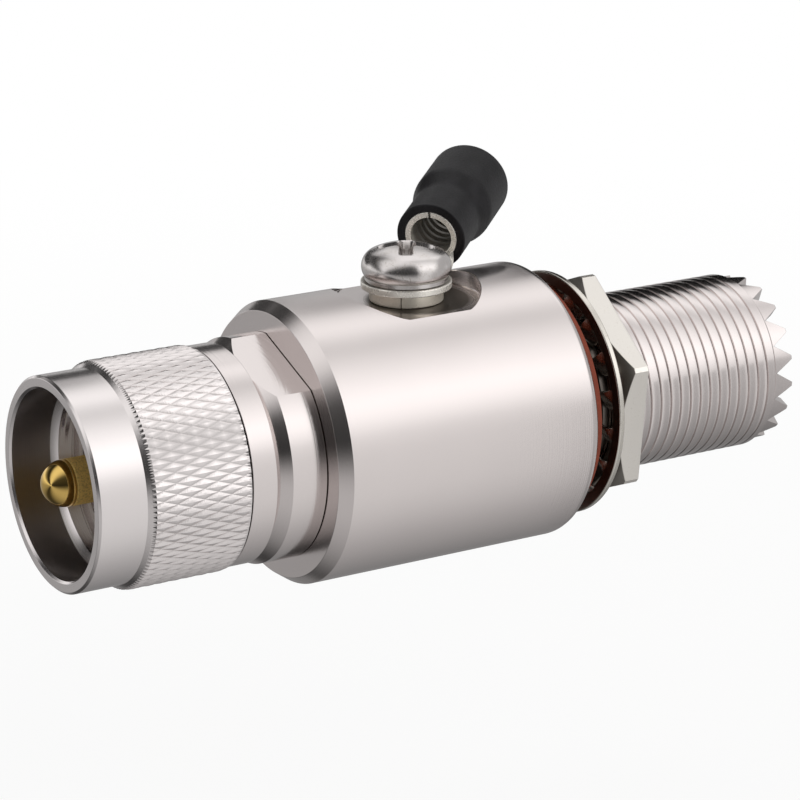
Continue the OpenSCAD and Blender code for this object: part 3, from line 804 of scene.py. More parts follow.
class ARRESTOR_OT_plug_hub(ArrestorOperator, Operator):
    """Hub with its collar, coned groove and two wrench flats"""
    bl_idname = "arrestor.plug_hub"
    bl_label = "Plug hub"

    def build(self, settings):
        """An outline carried round the axis, and cut by a flat on either side.

        At each station the flat spans the angle whose cosine is flat height / radius. Its columns keep to
        that span, and its radius is flat height / cos(angle from its middle), so the cut ends in a clean
        arch on the cone, which has many stations for it.
        """
        sizes = settings.hub
        x_face = low("body")[0]
        x_hub = x_face - sizes.hub_length
        x_groove = x_hub - sizes.groove_length
        x_collar = x_groove - sizes.collar_length
        x_neck = x_collar - sizes.neck_length
        x_front, x_end = low("plug_hub")[0], high("plug_hub")[0]
        bore, spigot, neck = sizes.bore_radius, sizes.spigot_radius, sizes.neck_radius
        collar, thread = sizes.collar_radius, sizes.thread_radius
        hub = high("plug_hub")[1]
        groove = hub - sizes.groove_depth
        seam = sizes.seam
        joint = hub - 2 * seam
        crisp = 0.03 * MM
        cone = np.linspace(0, 1, 26)[1:-1]
        cone = np.stack([groove + cone * (hub - groove), x_groove + cone * (x_hub - x_groove), 0 * cone], 1)
        outline = rounded(np.concatenate([
            [(bore, x_front, 0), (spigot, x_front, 0), (spigot, x_neck, 0), (neck, x_neck, 0),
             (neck, x_collar, 0), (collar, x_collar, sizes.collar_edge),
             (collar, x_groove, sizes.collar_edge), (groove, x_groove, 0.02 * MM)],
            cone,
            [(hub, x_hub, crisp), (hub, x_face - seam, crisp), (joint, x_face - seam, 0), (joint, x_face, 0),
             (thread, x_face, 0), (thread, x_end, 0), (bore, x_end, 0)],
        ]))
        radius, x = outline[:, :1], outline[:, 1:]
        in_seam = (x > x_face - 1.01 * seam) & (radius < hub - seam)
        apothem = np.where(in_seam, sizes.flat_height - seam, sizes.flat_height)
        cut = (x > x_groove + 0.01 * MM) & (x < x_face + 0.01 * MM) & (radius > apothem)
        reach = np.where(cut, np.arccos(np.minimum(apothem / radius, 1)), 0)
        across = np.linspace(-1, 1, 25)[None, :-1]
        round_share = np.linspace(0, 1, 97)[None, :-1]
        swing = np.concatenate([reach * across, reach + round_share * (math.pi - 2 * reach)], 1)
        flat = np.zeros(swing.shape, bool)
        flat[:, :across.shape[1]] = cut
        level = np.where(flat, apothem / np.cos(np.where(flat, swing, 0)), radius)
        angle = sizes.flat_turn + np.concatenate([swing, swing + math.pi], 1)
        skin = Skin()
        # Painted shade fills the seam beside the body
        skin.grid(line(np.concatenate([level, level], 1), x, angle), wrap_rows=True, wrap_columns=True,
                  soil=1.0 * in_seam)
        colours = settings.colours
        metal = turned_metal("turned_nickel", colours.nickel, colours,
                             rough=0.17, grain=0.2 * MM, depth=0.006 * MM)
        skin.piece("plug_hub_shell", metal, "arrestor", "plug_hub", slot="nickel_turned")


class ARRESTOR_OT_coupling_nut(ArrestorOperator, Operator):
    """Coupling nut with its diamond knurl and inner thread"""
    bl_idname = "arrestor.coupling_nut"
    bl_label = "Coupling nut"

    def build(self, settings):
        """The knurl is a grid of pillows between two sets of helical grooves.

        With eight columns and eight rows to a diamond, the grooves of either set run along the grid's
        diagonals at whole values of (column +- row) / 8. A point lies below the crest by the knurl's
        depth x (1 - 2 x distance to the nearer groove) to the power 1.5, and each face is split along the
        diagonal that a groove or a ridge takes.
        """
        sizes = settings.nut
        x_front, x_rear = low("coupling_nut")[0], high("coupling_nut")[0]
        crest = high("coupling_nut")[2]
        front, bore, thread = sizes.front_radius, sizes.counterbore_radius, sizes.thread_radius
        edge = sizes.edge
        rear_edge = 0.4 * edge
        x_bevel = x_front + sizes.front_length
        x_band = x_bevel + sizes.bevel_length
        per_diamond = 8
        columns = per_diamond * sizes.diamonds
        angles = whole_turn(columns)
        row = np.arange(sizes.diamond_rows + 1)[:, None]
        column = np.arange(columns)[None, :]
        x = x_bevel + (x_rear - x_bevel) * row / sizes.diamond_rows
        sets = [(column + sign * row) / per_diamond for sign in (1, -1)]
        away = [np.abs(groove - np.round(groove)) for groove in sets]
        below = np.clip(1 - 2 * np.minimum(*away), 0, 1)
        pillow = crest - sizes.knurl_depth * below ** 1.5
        pillow[-1] = crest
        outside = np.interp(x, [x_bevel, x_band, x_rear - rear_edge, x_rear],
                            [front, crest, crest, crest - rear_edge])
        lean = (column - row[:-1]) % 2 == 0
        # A little painted shade at the bottom of the knurl's grooves
        soil = np.where(pillow < outside, 0.12 * below ** 6, 0)
        skin = Skin()
        knurl = line(np.minimum(outside, pillow), x, angles[None, :])
        skin.grid(knurl, wrap_columns=True, lean=lean, soil=soil)
        x_thread = x_front + sizes.counterbore_length
        x_lip = x_rear - sizes.lip_length
        x_lead = x_thread + sizes.thread_lead
        pitch = settings.jack.pitch
        turns = int((x_lip - x_lead) / pitch)
        end = skin.thread(angles, x_lead, turns, pitch, thread, cut=-sizes.thread_depth, crest_share=0.3)
        back = rounded([
            (crest - rear_edge, x_rear, 0), (sizes.lip_radius, x_rear, 0.1 * MM),
            (sizes.lip_radius, x_lip, 0), (thread, x_lip, 0), (thread, end, 0),
        ], closed=False, steps=3)
        mouth = rounded([
            (thread, x_lead, 0), (bore, x_thread, 0.02 * MM), (bore, x_front + edge, 0.05 * MM),
            (bore + edge, x_front, 0.05 * MM), (front - edge, x_front, 0.08 * MM),
            (front, x_front + edge, 0.08 * MM), (front, x_bevel, 0),
        ], closed=False, steps=3)
        # Painted shade on the bore of the nut's mouth
        in_bore = np.abs(mouth[:, :1] - bore) < 0.01 * MM
        skin.turned(back, steps=columns, closed=False)
        skin.turned(mouth, steps=columns, closed=False, soil=0.6 * in_bore)
        colours = settings.colours
        metal = turned_metal("bright_nickel", colours.bright_nickel, colours,
                             rough=0.2, grain=0.12 * MM, depth=0.004 * MM)
        skin.piece("coupling_nut_knurled", metal, "coupling_nut", "coupling_nut", slot="nickel_bright",
                   sharp=14)


class ARRESTOR_OT_plug_contacts(ArrestorOperator, Operator):
    """Ball-nosed pin and outer contact of the plug"""
    bl_idname = "arrestor.plug_contacts"
    bl_label = "Plug contacts"

    def build(self, settings):
        """Both are outlines carried round the axis; the nose is an arc about the ball's centre."""
        sizes = settings.contacts
        tip, tail = low("plug_pin")[0], high("plug_pin")[0]
        nose = sizes.nose_radius
        centre = tip + nose
        sweep = np.linspace(0, math.pi - math.asin(sizes.neck_radius / nose), 26)
        ball = np.stack([nose * np.sin(sweep), centre - nose * np.cos(sweep)], 1)
        x_neck = ball[-1, 1]
        x_mouth = low("plug_insulator")[0]
        step = 0.06 * MM
        shank = rounded([
            (sizes.neck_radius, x_neck, 0), (sizes.neck_radius, x_neck + step, 0),
            (sizes.pin_radius, x_neck + 2 * step, 0.04 * MM), (sizes.pin_radius, x_mouth, 0),
            (sizes.pin_tail_radius, x_mouth, 0), (sizes.pin_tail_radius, tail, 0), (0, tail, 0),
        ], closed=False)
        pin = Skin()
        pin.turned(np.concatenate([ball, shank]), steps=96, closed=False)
        colours = settings.colours
        gold = pin_gold(colours, x_neck)
        pin.piece("plug_pin_gold", gold, "arrestor", "plug_pin", slot="gold", sharp=24)
        x_from, x_to = low("outer_contact")[0], high("outer_contact")[0]
        flange = high("outer_contact")[2]
        x_flange = x_to - sizes.flange_length
        contact = Skin()
        contact.turned(rounded([
            (sizes.sleeve_bore, x_from, 0.12 * MM), (sizes.sleeve_radius, x_from, 0.3 * MM),
            (sizes.sleeve_radius, x_flange, 0.1 * MM), (flange, x_flange, 0.12 * MM),
            (flange, x_to, 0.05 * MM), (sizes.sleeve_bore, x_to, 0),
        ]))
        metal = turned_metal("contact_nickel", colours.bright_nickel, colours,
                             rough=0.16, grain=0.12 * MM, depth=0.003 * MM)
        contact.piece("outer_contact_ring", metal, "arrestor", "outer_contact", slot="nickel_bright")


class ARRESTOR_OT_jack_shell(ArrestorOperator, Operator):
    """Threaded jack barrel with the crown of teeth"""
    bl_idname = "arrestor.jack_shell"
    bl_label = "Jack barrel"

    def build(self, settings):
        """A helical thread, and an outline carried round the axis whose crown end rises and falls.

        The crown's edge is a trapezium wave: it climbs evenly from each notch to the tip of a tooth and
        stays level across the tip. The columns fall on the notches and on the corners of the tips. Each
        row has a radius, a station and a share of the wave that it follows.
        """
        sizes = settings.jack
        thread = high("jack_shell")[2]
        x_from, x_tip = low("jack_shell")[0], high("jack_shell")[0]
        tip_share = sizes.tooth_tip / (TAU * sizes.crown_radius / sizes.teeth) / 2
        climb = np.linspace(0, 0.5 - tip_share, 7)
        fractions = np.concatenate([climb, [0.5], 1 - climb[:0:-1]])
        rise = np.interp(fractions, [0, 0.5 - tip_share, 0.5 + tip_share, 1], [0, 1, 1, 0])
        angles = TAU * (np.arange(sizes.teeth)[:, None] + fractions[None, :]).ravel() / sizes.teeth - TAU / 4
        tooth = np.tile(rise, sizes.teeth)[None, :]
        x_shoulder = sizes.thread_length
        x_notch = x_shoulder + sizes.crown_land
        x_socket = x_tip - sizes.socket_depth
        x_seat = x_socket - sizes.seat_length
        x_lead = x_shoulder - sizes.lead
        turns = int(x_lead / sizes.pitch)
        start = x_lead - turns * sizes.pitch
        skin = Skin()
        # Painted shade on the barrel behind the jam nut, dark between the star washer's teeth
        end = skin.thread(angles, start, turns, sizes.pitch, thread, sizes.thread_depth, sizes.crest_share,
                          bow=sizes.crest_bow, painted_shade_below=low("jam_nut")[0])
        edge = sizes.tooth_edge
        nick = 0.02 * MM
        land = 0.03 * MM
        crown, socket, seat = sizes.crown_radius, sizes.socket_radius, sizes.seat_radius
        rows = np.array([
            (thread, end, 0), (thread - nick, x_lead + land, 0),
            (thread - sizes.lead, x_shoulder, 0), (crown + nick, x_shoulder, 0),
            (crown, x_shoulder + land, 0), (crown, x_notch - 0.4 * edge, 0.5),
            (crown, x_notch - edge, 1), (crown - 0.3 * edge, x_notch - 0.3 * edge, 1),
            (crown - edge, x_notch, 1), (crown - 2 * edge, x_notch, 1), (socket + 2 * edge, x_notch, 1),
            (socket + edge, x_notch, 1), (socket + 0.3 * edge, x_notch - 0.3 * edge, 1),
            (socket, x_notch - edge, 1), (socket, x_notch - 2 * edge, 0), (socket, x_socket, 0),
            (seat, x_socket, 0), (seat, x_seat, 0), (sizes.bore_radius, x_seat, 0),
            (sizes.bore_radius, x_from, 0), (thread, x_from, 0), (thread, start, 0),
        ])
        radius, x, follow = (rows[:, i:i + 1] for i in range(3))
        skin.grid(line(radius, x + follow * tooth * (x_tip - x_notch), angles[None, :]), wrap_columns=True)
        colours = settings.colours
        metal = turned_metal("thread_nickel", colours.nickel, colours,
                             rough=0.16, grain=0.1 * MM, depth=0.003 * MM)
        skin.piece("jack_barrel", metal, "arrestor", "jack_shell", slot="nickel_turned", sharp=18)


class ARRESTOR_OT_panel_gasket(ArrestorOperator, Operator):
    """Sealing gasket against the body"""
    bl_idname = "arrestor.panel_gasket"
    bl_label = "Panel gasket"

    def build(self, settings):
        """A rounded rectangle carried round the axis."""
        edge = settings.panel.gasket_edge
        inner = settings.body.tap_radius
        outer = settings.panel.gasket_radius
        x_to = high("panel_gasket")[0]
        skin = Skin()
        skin.turned(rounded([
            (inner, 0, 0.05 * MM), (outer, 0, edge), (outer, x_to, edge), (inner, x_to, 0.1 * MM),
        ]))
        shade = settings.colours.silicone
        rubber = soft_material("silicone", darker(shade, 0.8), shade,
                               rough=0.5, grain=0.12 * MM, depth=0.012 * MM, mottle=1.6 * MM)
        skin.piece("panel_gasket_ring", rubber, "arrestor", "panel_gasket", slot="silicone")


class ARRESTOR_OT_star_washer(ArrestorOperator, Operator):
    """Lock washer with twisted inner teeth"""
    bl_idname = "arrestor.star_washer"
    bl_label = "Star washer"

    def build(self, settings):
        """A rounded ring, and teeth that are one rounded section carried inwards.

        The section is a superellipse of the tooth's width and thickness. It twists about the tooth's own
        line from the ring to the tip. Over the last share of its reach it shrinks, as the root of
        1 - u squared, to about a third, and then closes.
        """
        sizes = settings.panel
        outer = high("star_washer")[2]
        middle = (low("star_washer")[0] + high("star_washer")[0]) / 2
        half = sizes.ring_thickness / 2
        edge = 0.13 * MM
        overlap = 0.35 * MM
        twisted_by = 0.45
        taper = 0.12
        skin = Skin()
        ring = rounded([
            (sizes.ring_radius, middle - half, edge), (outer, middle - half, edge),
            (outer, middle + half, edge), (sizes.ring_radius, middle + half, edge),
        ])
        # Painted shade on the ring's faces and inner edge, leaving its outer rim bright
        skin.turned(ring, soil=0.9 * smooth((outer - 0.02 * MM - ring[:, :1]) / (0.12 * MM)))
        root = sizes.ring_radius + overlap
        last = 0.14
        tip_from = 1 - last
        closing = np.sin(np.linspace(0.2, 1, 6) * TAU / 4)
        reach = np.concatenate([np.linspace(0, tip_from, 13), tip_from + last * closing])
        ending = np.sqrt(np.maximum(1 - (np.maximum(reach - tip_from, 0) / last) ** 2, 0))
        ending = 0.35 * (reach < 1) + 0.65 * ending
        radius = (root + reach * (sizes.tip_radius - root))[None, :, None]
        twist = (sizes.tooth_twist * smooth(reach / twisted_by))[None, :, None]
        section = whole_turn(28)[None, None, :]
        swell = (ending * (1 - taper * reach))[None, :, None]
        cosine, sine = np.cos(section), np.sin(section)
        across = sizes.tooth_width / 2 * swell * np.sign(cosine) * np.abs(cosine) ** 0.6
        thick = half * 0.96 * swell * np.sign(sine) * np.abs(sine) ** 0.75
        tangent = across * np.cos(twist) - thick * np.sin(twist)
        along = across * np.sin(twist) + thick * np.cos(twist)
        angle = math.pi / 2 + whole_turn(sizes.star_teeth)[:, None, None]
        y = radius * np.cos(angle) - tangent * np.sin(angle)
        z = radius * np.sin(angle) + tangent * np.cos(angle)
        teeth = np.stack(np.broadcast_arrays(middle + along, y, z), -1)
        start = teeth[:, :1].mean(2, keepdims=True) + 0 * teeth[:, :1]
        # Painted shade on the teeth, heaviest at their roots
        soil = 0.35 + 0.55 * smooth(1 - np.append(0, reach) / 0.3)[:, None]
        for tooth in np.concatenate([start, teeth], 1):
            skin.grid(tooth, wrap_columns=True, soil=soil)
        colours = settings.colours
        steel = marked_steel("washer_steel", colours.washer, colours,
                             rough=0.16, grain=0.25 * MM, stained=0.2, depth=0.004 * MM)
        skin.piece("star_washer_toothed", steel, "star_washer", "star_washer", slot="washer_steel")


class ARRESTOR_OT_jam_nut(ArrestorOperator, Operator):
    """Hexagon jam nut, chamfered towards the panel"""
    bl_idname = "arrestor.jam_nut"
    bl_label = "Jam nut"

    def build(self, settings):
        """A grid round the axis whose outer radius is flat height / cos(angle from the middle of a flat).

        The corners are cut a little short, and the chamfer's station is the radius beyond the face x its
        slope. The rows that face the panel get painted shade.
        """
        sizes = settings.panel
        x_from, x_to = low("jam_nut")[0], high("jam_nut")[0]
        blunt = 0.12 * MM
        corner = sizes.jam_flat / math.cos(TAU / 12) - blunt
        reach = math.acos(sizes.jam_flat / corner)
        swing = np.linspace(-reach, reach, 25)
        middle = sizes.jam_turn + TAU * (np.arange(6) + 0.5) / 6
        angle = (middle[:, None] + swing[None, :]).ravel()[None, :]
        outer = np.tile(sizes.jam_flat / np.cos(swing), 6)[None, :]
        bore = sizes.jam_bore
        lead = 0.3 * MM
        edge = sizes.jam_edge
        fill = np.ones_like(outer)
        slope = math.tan(sizes.jam_slope)
        share_points = np.linspace(0, 1, 4)[:, None]
        cone = sizes.jam_face + share_points * (outer - sizes.jam_face)
        radius = np.concatenate([
            bore * fill, (bore + lead) * fill, (sizes.jam_face - 0.06 * MM) * fill, cone,
            outer, outer, outer - 0.3 * edge, outer - edge, outer - 3 * edge,
            (bore + lead) * fill, bore * fill,
        ])
        x_cone = x_from + (cone - sizes.jam_face) * slope
        x = np.concatenate([
            (x_from + lead) * fill, x_from * fill, x_from * fill, x_cone, x_cone[-1:] + 0.08 * MM,
            (x_to - edge) * fill, (x_to - 0.3 * edge) * fill, x_to * fill, x_to * fill, x_to * fill,
            (x_to - lead) * fill,
        ])
        # Painted shade on the bore and on the chamfered face towards the panel
        soil = np.zeros(len(radius))[:, None]
        soil[:3 + len(cone)] = 0.65
        skin = Skin()
        skin.grid(line(radius, x, angle), wrap_rows=True, wrap_columns=True, soil=soil)
        colours = settings.colours
        metal = marked_steel("cream_nickel", colours.cream_nickel, colours,
                             rough=0.26, grain=0.2 * MM, stained=0.1, depth=0.001 * MM)
        skin.piece("jam_nut_hex", metal, "jam_nut", "jam_nut", slot="nickel_cream", sharp=17)


class ARRESTOR_OT_ground_screw(ArrestorOperator, Operator):
    """Pan head ground screw with a cross recess"""
    bl_idname = "arrestor.ground_screw"
    bl_label = "Ground screw"

    def build(self, settings):
        """A grid round the screw's axis, from the middle of the head down to the thread.

        The head is a dome that runs into a rounded edge, an arc from where the two meet to the foot.
        Inside the recess the columns of each arm keep to the angle whose sine is half its width / radius.
        The recess is shallower outwards, and short sloped walls join its floor to the dome.
        """
        sizes = settings.ground
        place = screw_line(sizes)
        z_tip, z_top = low("ground_screw")[2], high("ground_screw")[2] + sizes.head_rise
        z_head = z_top - sizes.head_rise - sizes.head_height
        head = sizes.head_radius
        core = head - sizes.head_round
        z_round = z_head + sizes.head_round_height
        rise = z_top - z_round
        dome = (core ** 2 + rise ** 2 - sizes.head_round ** 2) / (2 * (rise - sizes.head_round))
        meet = math.atan2(z_round - z_top + dome, core)
        lowest = -math.acos(1 - sizes.head_inset / sizes.head_round)
        arm = sizes.recess_length / 2
        half = sizes.recess_width / 2
        centre = half * math.sqrt(2)
        inner = np.concatenate([np.linspace(0, centre, 6), np.linspace(centre, arm, 26)[1:],
                                np.linspace(arm, dome * math.cos(meet), 6)[1:]])
        sweep = np.linspace(meet, lowest, 20)[1:]
        foot = 0.1 * MM
        under = head - sizes.head_inset
        seat = under - 0.08 * MM
        neck = 0.3 * MM
        point = 0.35 * MM
        edge_radius = core + sizes.head_round * np.cos(sweep)
        edge_height = z_round + sizes.head_round * np.sin(sweep)
        dome_height = z_top - dome + np.sqrt(dome ** 2 - inner ** 2)
        radius = np.concatenate([inner, edge_radius, [under, seat]])[:, None]
        height = np.concatenate([dome_height, edge_height, [z_head + foot, z_head]])[:, None]
        reach = np.arcsin(np.minimum(half / np.clip(radius, centre, arm), math.sqrt(0.5)))
        across = np.array([-1, -0.82, -0.5, -0.2, 0.2, 0.5, 0.82])[None, :]
        land_share = np.linspace(0, 1, 25)[None, :-1]
        swing = np.concatenate([reach * across, reach + land_share * (TAU / 4 - 2 * reach)], 1)
        inside = np.clip((1 - np.abs(np.concatenate([across, np.ones_like(land_share)], 1))) / 0.6, 0, 1)
        land = np.clip((radius - centre) / (0.14 * MM), 0, 1)
        depth = sizes.recess_depth * (1 - 0.55 * radius / arm) * np.clip((arm - radius) / (0.7 * MM), 0, 1)
        hollow = land * inside + 1 - land
        level = np.tile(height - depth * hollow, 4)
        # Painted shade in the cross recess, more deeper down, and under the head
        soil = np.tile(0.6 * hollow * smooth(depth / (0.6 * MM)), 4)
        soil[-1] = 0.9
        quarter = TAU / 4 * np.arange(4)
        angle = sizes.recess_turn + np.concatenate([swing + step for step in quarter], 1)
        skin = Skin()
        skin.grid(place(radius, level, angle), wrap_columns=True, soil=soil)
        ring = np.sort(np.mod(angle[-1], TAU))
        shank = sizes.shank_radius
        start = z_tip + point
        z_neck = z_head - neck
        turns = int((z_neck - start) / sizes.shank_pitch)
        end = skin.thread(ring, start, turns, sizes.shank_pitch, shank, cut=0.36 * MM, crest_share=0.2,
                          place=place)
        shoulder = rounded([(seat, z_head, 0), (shank, z_head, 0.1 * MM), (shank, z_neck, 0)], closed=False)
        shoulder = np.concatenate([shoulder, [(shank, end)]])
        tip = np.array([(shank, start), (shank - point, z_tip), (0, z_tip)])
        for outline in (shoulder, tip):
            skin.grid(place(outline[:, :1], outline[:, 1:], ring[None, :]), wrap_columns=True)
        colours = settings.colours
        steel = marked_steel("screw_steel", colours.screw, colours,
                             rough=0.18, grain=0.1 * MM, stained=0.8, depth=0.006 * MM)
        skin.piece("ground_screw_head", steel, "ground_screw", "ground_screw", slot="screw_steel")


class ARRESTOR_OT_spring_washer(ArrestorOperator, Operator):
    """Split spring washer under the lug"""
    bl_idname = "arrestor.spring_washer"
    bl_label = "Spring washer"

    def build(self, settings):
        """A rounded section carried round the screw, open at the split, each end drawn to its middle."""
        sizes = settings.ground
        z_from, z_to = low("spring_washer")[2], high("spring_washer")[2]
        inner = sizes.washer_bore
        outer = sizes.spring_radius
        edge = 0.14 * MM
        section = rounded([
            (inner, z_from, edge), (outer, z_from, edge), (outer, z_to, edge), (inner, z_to, edge),
        ])
        start = sizes.split_turn + sizes.split / 2
        angle = np.linspace(start, start + TAU - sizes.split, 121)[:, None]
        angle = np.concatenate([angle[:1], angle, angle[-1:]])
        full = np.ones_like(angle)
        full[[0, -1]] = 0
        middle = section.mean(0)
        radius = middle[0] + full * (section[None, :, 0] - middle[0])
        height = middle[1] + full * (section[None, :, 1] - middle[1])
        skin = Skin()
        skin.grid(screw_line(sizes)(radius, height, angle), wrap_columns=True)
        colours = settings.colours
        steel = marked_steel("spring_steel", colours.spring, colours,
                             rough=0.3, grain=0.2 * MM, stained=0.3, depth=0.004 * MM, metallic=0.55)
        skin.piece("spring_washer_split", steel, "spring_washer", "spring_washer", slot="spring_steel")


class ARRESTOR_OT_ring_lug(ArrestorOperator, Operator):
    """Ring lug formed from one sheet, with its vinyl sleeve"""
    bl_idname = "arrestor.ring_lug"
    bl_label = "Ring lug and sleeve"

    def build(self, settings):
        """Builds the lug and the sleeve on it."""
        self.lug(settings)
        self.sleeve(settings)

    def lug(self, settings):
        """A flat ring, a throat that curls up and a split barrel.

        The ring is a grid of bearings from the hole to an outline that is the ring's circle, or the
        tongue's sides and end. In the throat, a point at a distance v across the sheet lies on an arc of
        growing curvature k: across = sin(k v) / k, up = (1 - cos(k v)) / k, moved half a thickness along
        the arc's normal. The barrel is its wall's section, grooved inside, carried round from one edge of
        the seam to the other.
        """
        sizes = settings.ground
        flat, bent, barrel = lug_sheet(sizes), bent_sheet(sizes), barrel_line(sizes)
        half = sizes.tongue_width / 2
        v = np.linspace(-half, half, 19)
        side = np.linspace(half / sizes.bend_at, math.tan(math.asin(half / sizes.ring_radius)), 6)[1:]
        side = np.arctan(side)
        end = np.arctan2(v, sizes.bend_at)
        circle = np.linspace(side[-1], TAU - side[-1], 90)[1:-1]
        bearing = np.concatenate([end, side, circle, TAU - side[::-1]])
        outer = np.full(len(bearing), sizes.ring_radius)
        outer[:len(v)] = sizes.bend_at / np.cos(end)
        outer[len(v):len(v) + len(side)] = half / np.sin(side)
        outer[-len(side):] = half / np.sin(side[::-1])
        edge = np.full(len(bearing), 0.09 * MM)
        edge[:len(v)] = 0
        hole = sizes.washer_bore
        sheet = sizes.sheet
        bevel = 0.08 * MM
        fill = np.ones(len(bearing))
        half_way = (hole + outer) / 2
        inner = (hole + bevel) * fill
        flank = [outer - 1.5 * edge, outer - edge, outer - 0.3 * edge, outer]
        radius = np.stack([inner, half_way, *flank, *flank[::-1], half_way, inner, hole * fill, hole * fill])
        under = [0 * fill, 0 * fill, 0 * fill, 0 * fill, 0.3 * edge, edge]
        upper = [sheet - level for level in under[::-1]]
        up = np.stack([*under, *upper, (sheet - bevel) * fill, bevel * fill])
        # The tongue's end is left open for the throat
        keep = np.ones(radius.shape, bool)
        keep[len(under) - 1, :len(v) - 1] = False
        skin = Skin()
        # Painted shade on the ring's faces and hole, under the screw head and on the spring washer; the
        # rounded edge and the tongue stay clear
        soil = np.full(radius.shape, 0.7) * (outer < 1.02 * sizes.ring_radius)
        soil[3:9] = 0
        ring = flat(radius * np.cos(bearing), radius * np.sin(bearing), up)
        skin.grid(ring, wrap_rows=True, wrap_columns=True, keep=keep, soil=soil)
        wall = sizes.barrel_radius - sizes.barrel_bore
        step = np.linspace(0, 1, 15)[:, None]
        # The throat runs on inside the barrel's wall, a little thinner than it
        overlap = 0.7 * MM
        curled_by = sizes.throat + 0.2 * MM
        thinner = 0.06 * MM
        along = step * (sizes.throat + overlap)
        curl = smooth(along / curled_by)
        curve = np.maximum(curl, 1e-6) / (sizes.barrel_radius - wall / 2)
        thick = sheet + curl * (wall - thinner - sheet)
        thick[-1] = 0
        across = np.concatenate([v, v[::-1]])[None, :]
        way = np.concatenate([-np.ones_like(v), np.ones_like(v)])[None, :]
        lift = (1 - curl) * sheet / 2 + curl * wall / 2
        sideways = np.sin(curve * across) / curve - way * thick / 2 * np.sin(curve * across)
        upward = lift + (1 - np.cos(curve * across)) / curve + way * thick / 2 * np.cos(curve * across)
        throat = bent(along, sideways, upward)
        throat[0] = flat(sizes.bend_at, across[0], np.where(way[0] > 0, sheet, 0))
        skin.grid(throat, wrap_columns=True)
        reach = sizes.barrel_length
        fine = np.linspace(0.5 * MM, reach - 0.3 * MM, 6 * sizes.serrations + 1)
        tooth = np.abs(np.mod(np.arange(len(fine)) / 6 + 0.5, 1) - 0.5) * 2
        bore = sizes.barrel_bore + 0.16 * MM * np.maximum(1 - tooth * 1.6, 0)
        brim = np.array([0, 0.015, 0.05, 0.2]) * MM
        station = np.concatenate([brim, fine, [reach - 0.1 * MM, reach]])
        ease = np.concatenate([[0.06 * MM, 0.03 * MM, 0, 0], np.zeros(len(fine)), [0, 0.06 * MM]])
        inside = np.concatenate([np.full(4, sizes.barrel_bore), bore, np.full(2, sizes.barrel_bore)]) + ease
        outside = sizes.barrel_radius - ease
        gap = sizes.seam / 2 / sizes.barrel_radius
        angle = np.linspace(math.pi / 2 + gap, math.pi / 2 + TAU - gap, 81)[:, None]
        angle = np.concatenate([angle[:1], angle, angle[-1:]])
        full = np.ones_like(angle)
        full[[0, -1]] = 0
        middle = (inside + outside) / 2
        section = np.concatenate([outside, inside[::-1]])
        core = np.concatenate([middle, middle[::-1]])
        # Painted shade inside the barrel, fading out over its first millimetre
        soil = np.concatenate([0 * station, 0.6 * smooth((station[::-1] - 0.1 * MM) / MM)])
        station = np.concatenate([station, station[::-1]])
        skin.grid(barrel(core + full * (section - core), station, angle), wrap_columns=True, soil=soil)
        colours = settings.colours
        metal = marked_steel("tin_plate", colours.tin, colours,
                             rough=0.24, grain=0.18 * MM, stained=0.2, depth=0.003 * MM, metallic=0.65)
        skin.piece("ring_lug_sheet", metal, "ring_lug", "ground_lug", slot="tin")

    def sleeve(self, settings):
        """A rounded outline carried round the barrel's axis, flared at the wire entry."""
        sizes = settings.ground
        grip, flare = sizes.grip_radius, sizes.flare_radius
        bore = sizes.barrel_radius + 0.02 * MM
        entry = flare - sizes.sleeve_wall
        flare_at = sizes.grip_length + sizes.flare_slope
        inside = max(flare_at, sizes.barrel_length)
        end = sizes.sleeve_length
        skin = Skin()
        skin.turned(rounded([
            (bore, 0, 0.1 * MM), (grip, 0, 0.16 * MM), (grip, sizes.grip_length, 3 * MM),
            (flare, flare_at, 3 * MM), (flare, end, 0.45 * MM), (entry, end, 0.3 * MM),
            (entry, inside + entry - bore, 0.2 * MM), (bore, inside, 0.1 * MM),
        ], steps=8), barrel_line(sizes), steps=128)
        shade = settings.colours.vinyl
        vinyl = soft_material("vinyl", shade, darker(shade, 2.2),
                              rough=0.42, grain=0.22 * MM, depth=0.02 * MM, mottle=2 * MM)
        skin.piece("lug_sleeve_flared", vinyl, "ring_lug", "lug_sleeve", slot="vinyl")


class ARRESTOR_OT_inner_line(ArrestorOperator, Operator):
    """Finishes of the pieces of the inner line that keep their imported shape"""
    bl_idname = "arrestor.inner_line"
    bl_label = "Inner line"

    def build(self, settings):
        """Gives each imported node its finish."""
        colours = settings.colours
        plastic = soft_material("fluoropolymer", darker(colours.fluoropolymer, 0.92), colours.fluoropolymer,
                                rough=0.4, grain=0.3 * MM, depth=0.006 * MM, mottle=2.5 * MM)
        ceramic = soft_material("ceramic", darker(colours.ceramic, 0.95), colours.ceramic,
                                rough=0.3, grain=0.2 * MM, depth=0.003 * MM, mottle=1.5 * MM)
        gold = turned_metal("contact_gold", colours.gold, colours,
                            rough=0.18, grain=0.14 * MM, depth=0.002 * MM)
        plate = turned_metal("electrode_plate", colours.tin, colours,
                             rough=0.24, grain=0.2 * MM, depth=0.002 * MM)
        finishes = {
            "plug_insulator": plastic, "front_bead": plastic, "rear_bead": plastic,
            "jack_insulator": plastic, "centre_conductor": gold, "jack_contact": gold,
            "gas_tube_ceramic": ceramic, "gas_tube_top": plate, "gas_tube_bottom": plate,
        }
        for node, material in finishes.items():
            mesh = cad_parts[node].data
            mesh.materials.clear()
            mesh.materials.append(material)


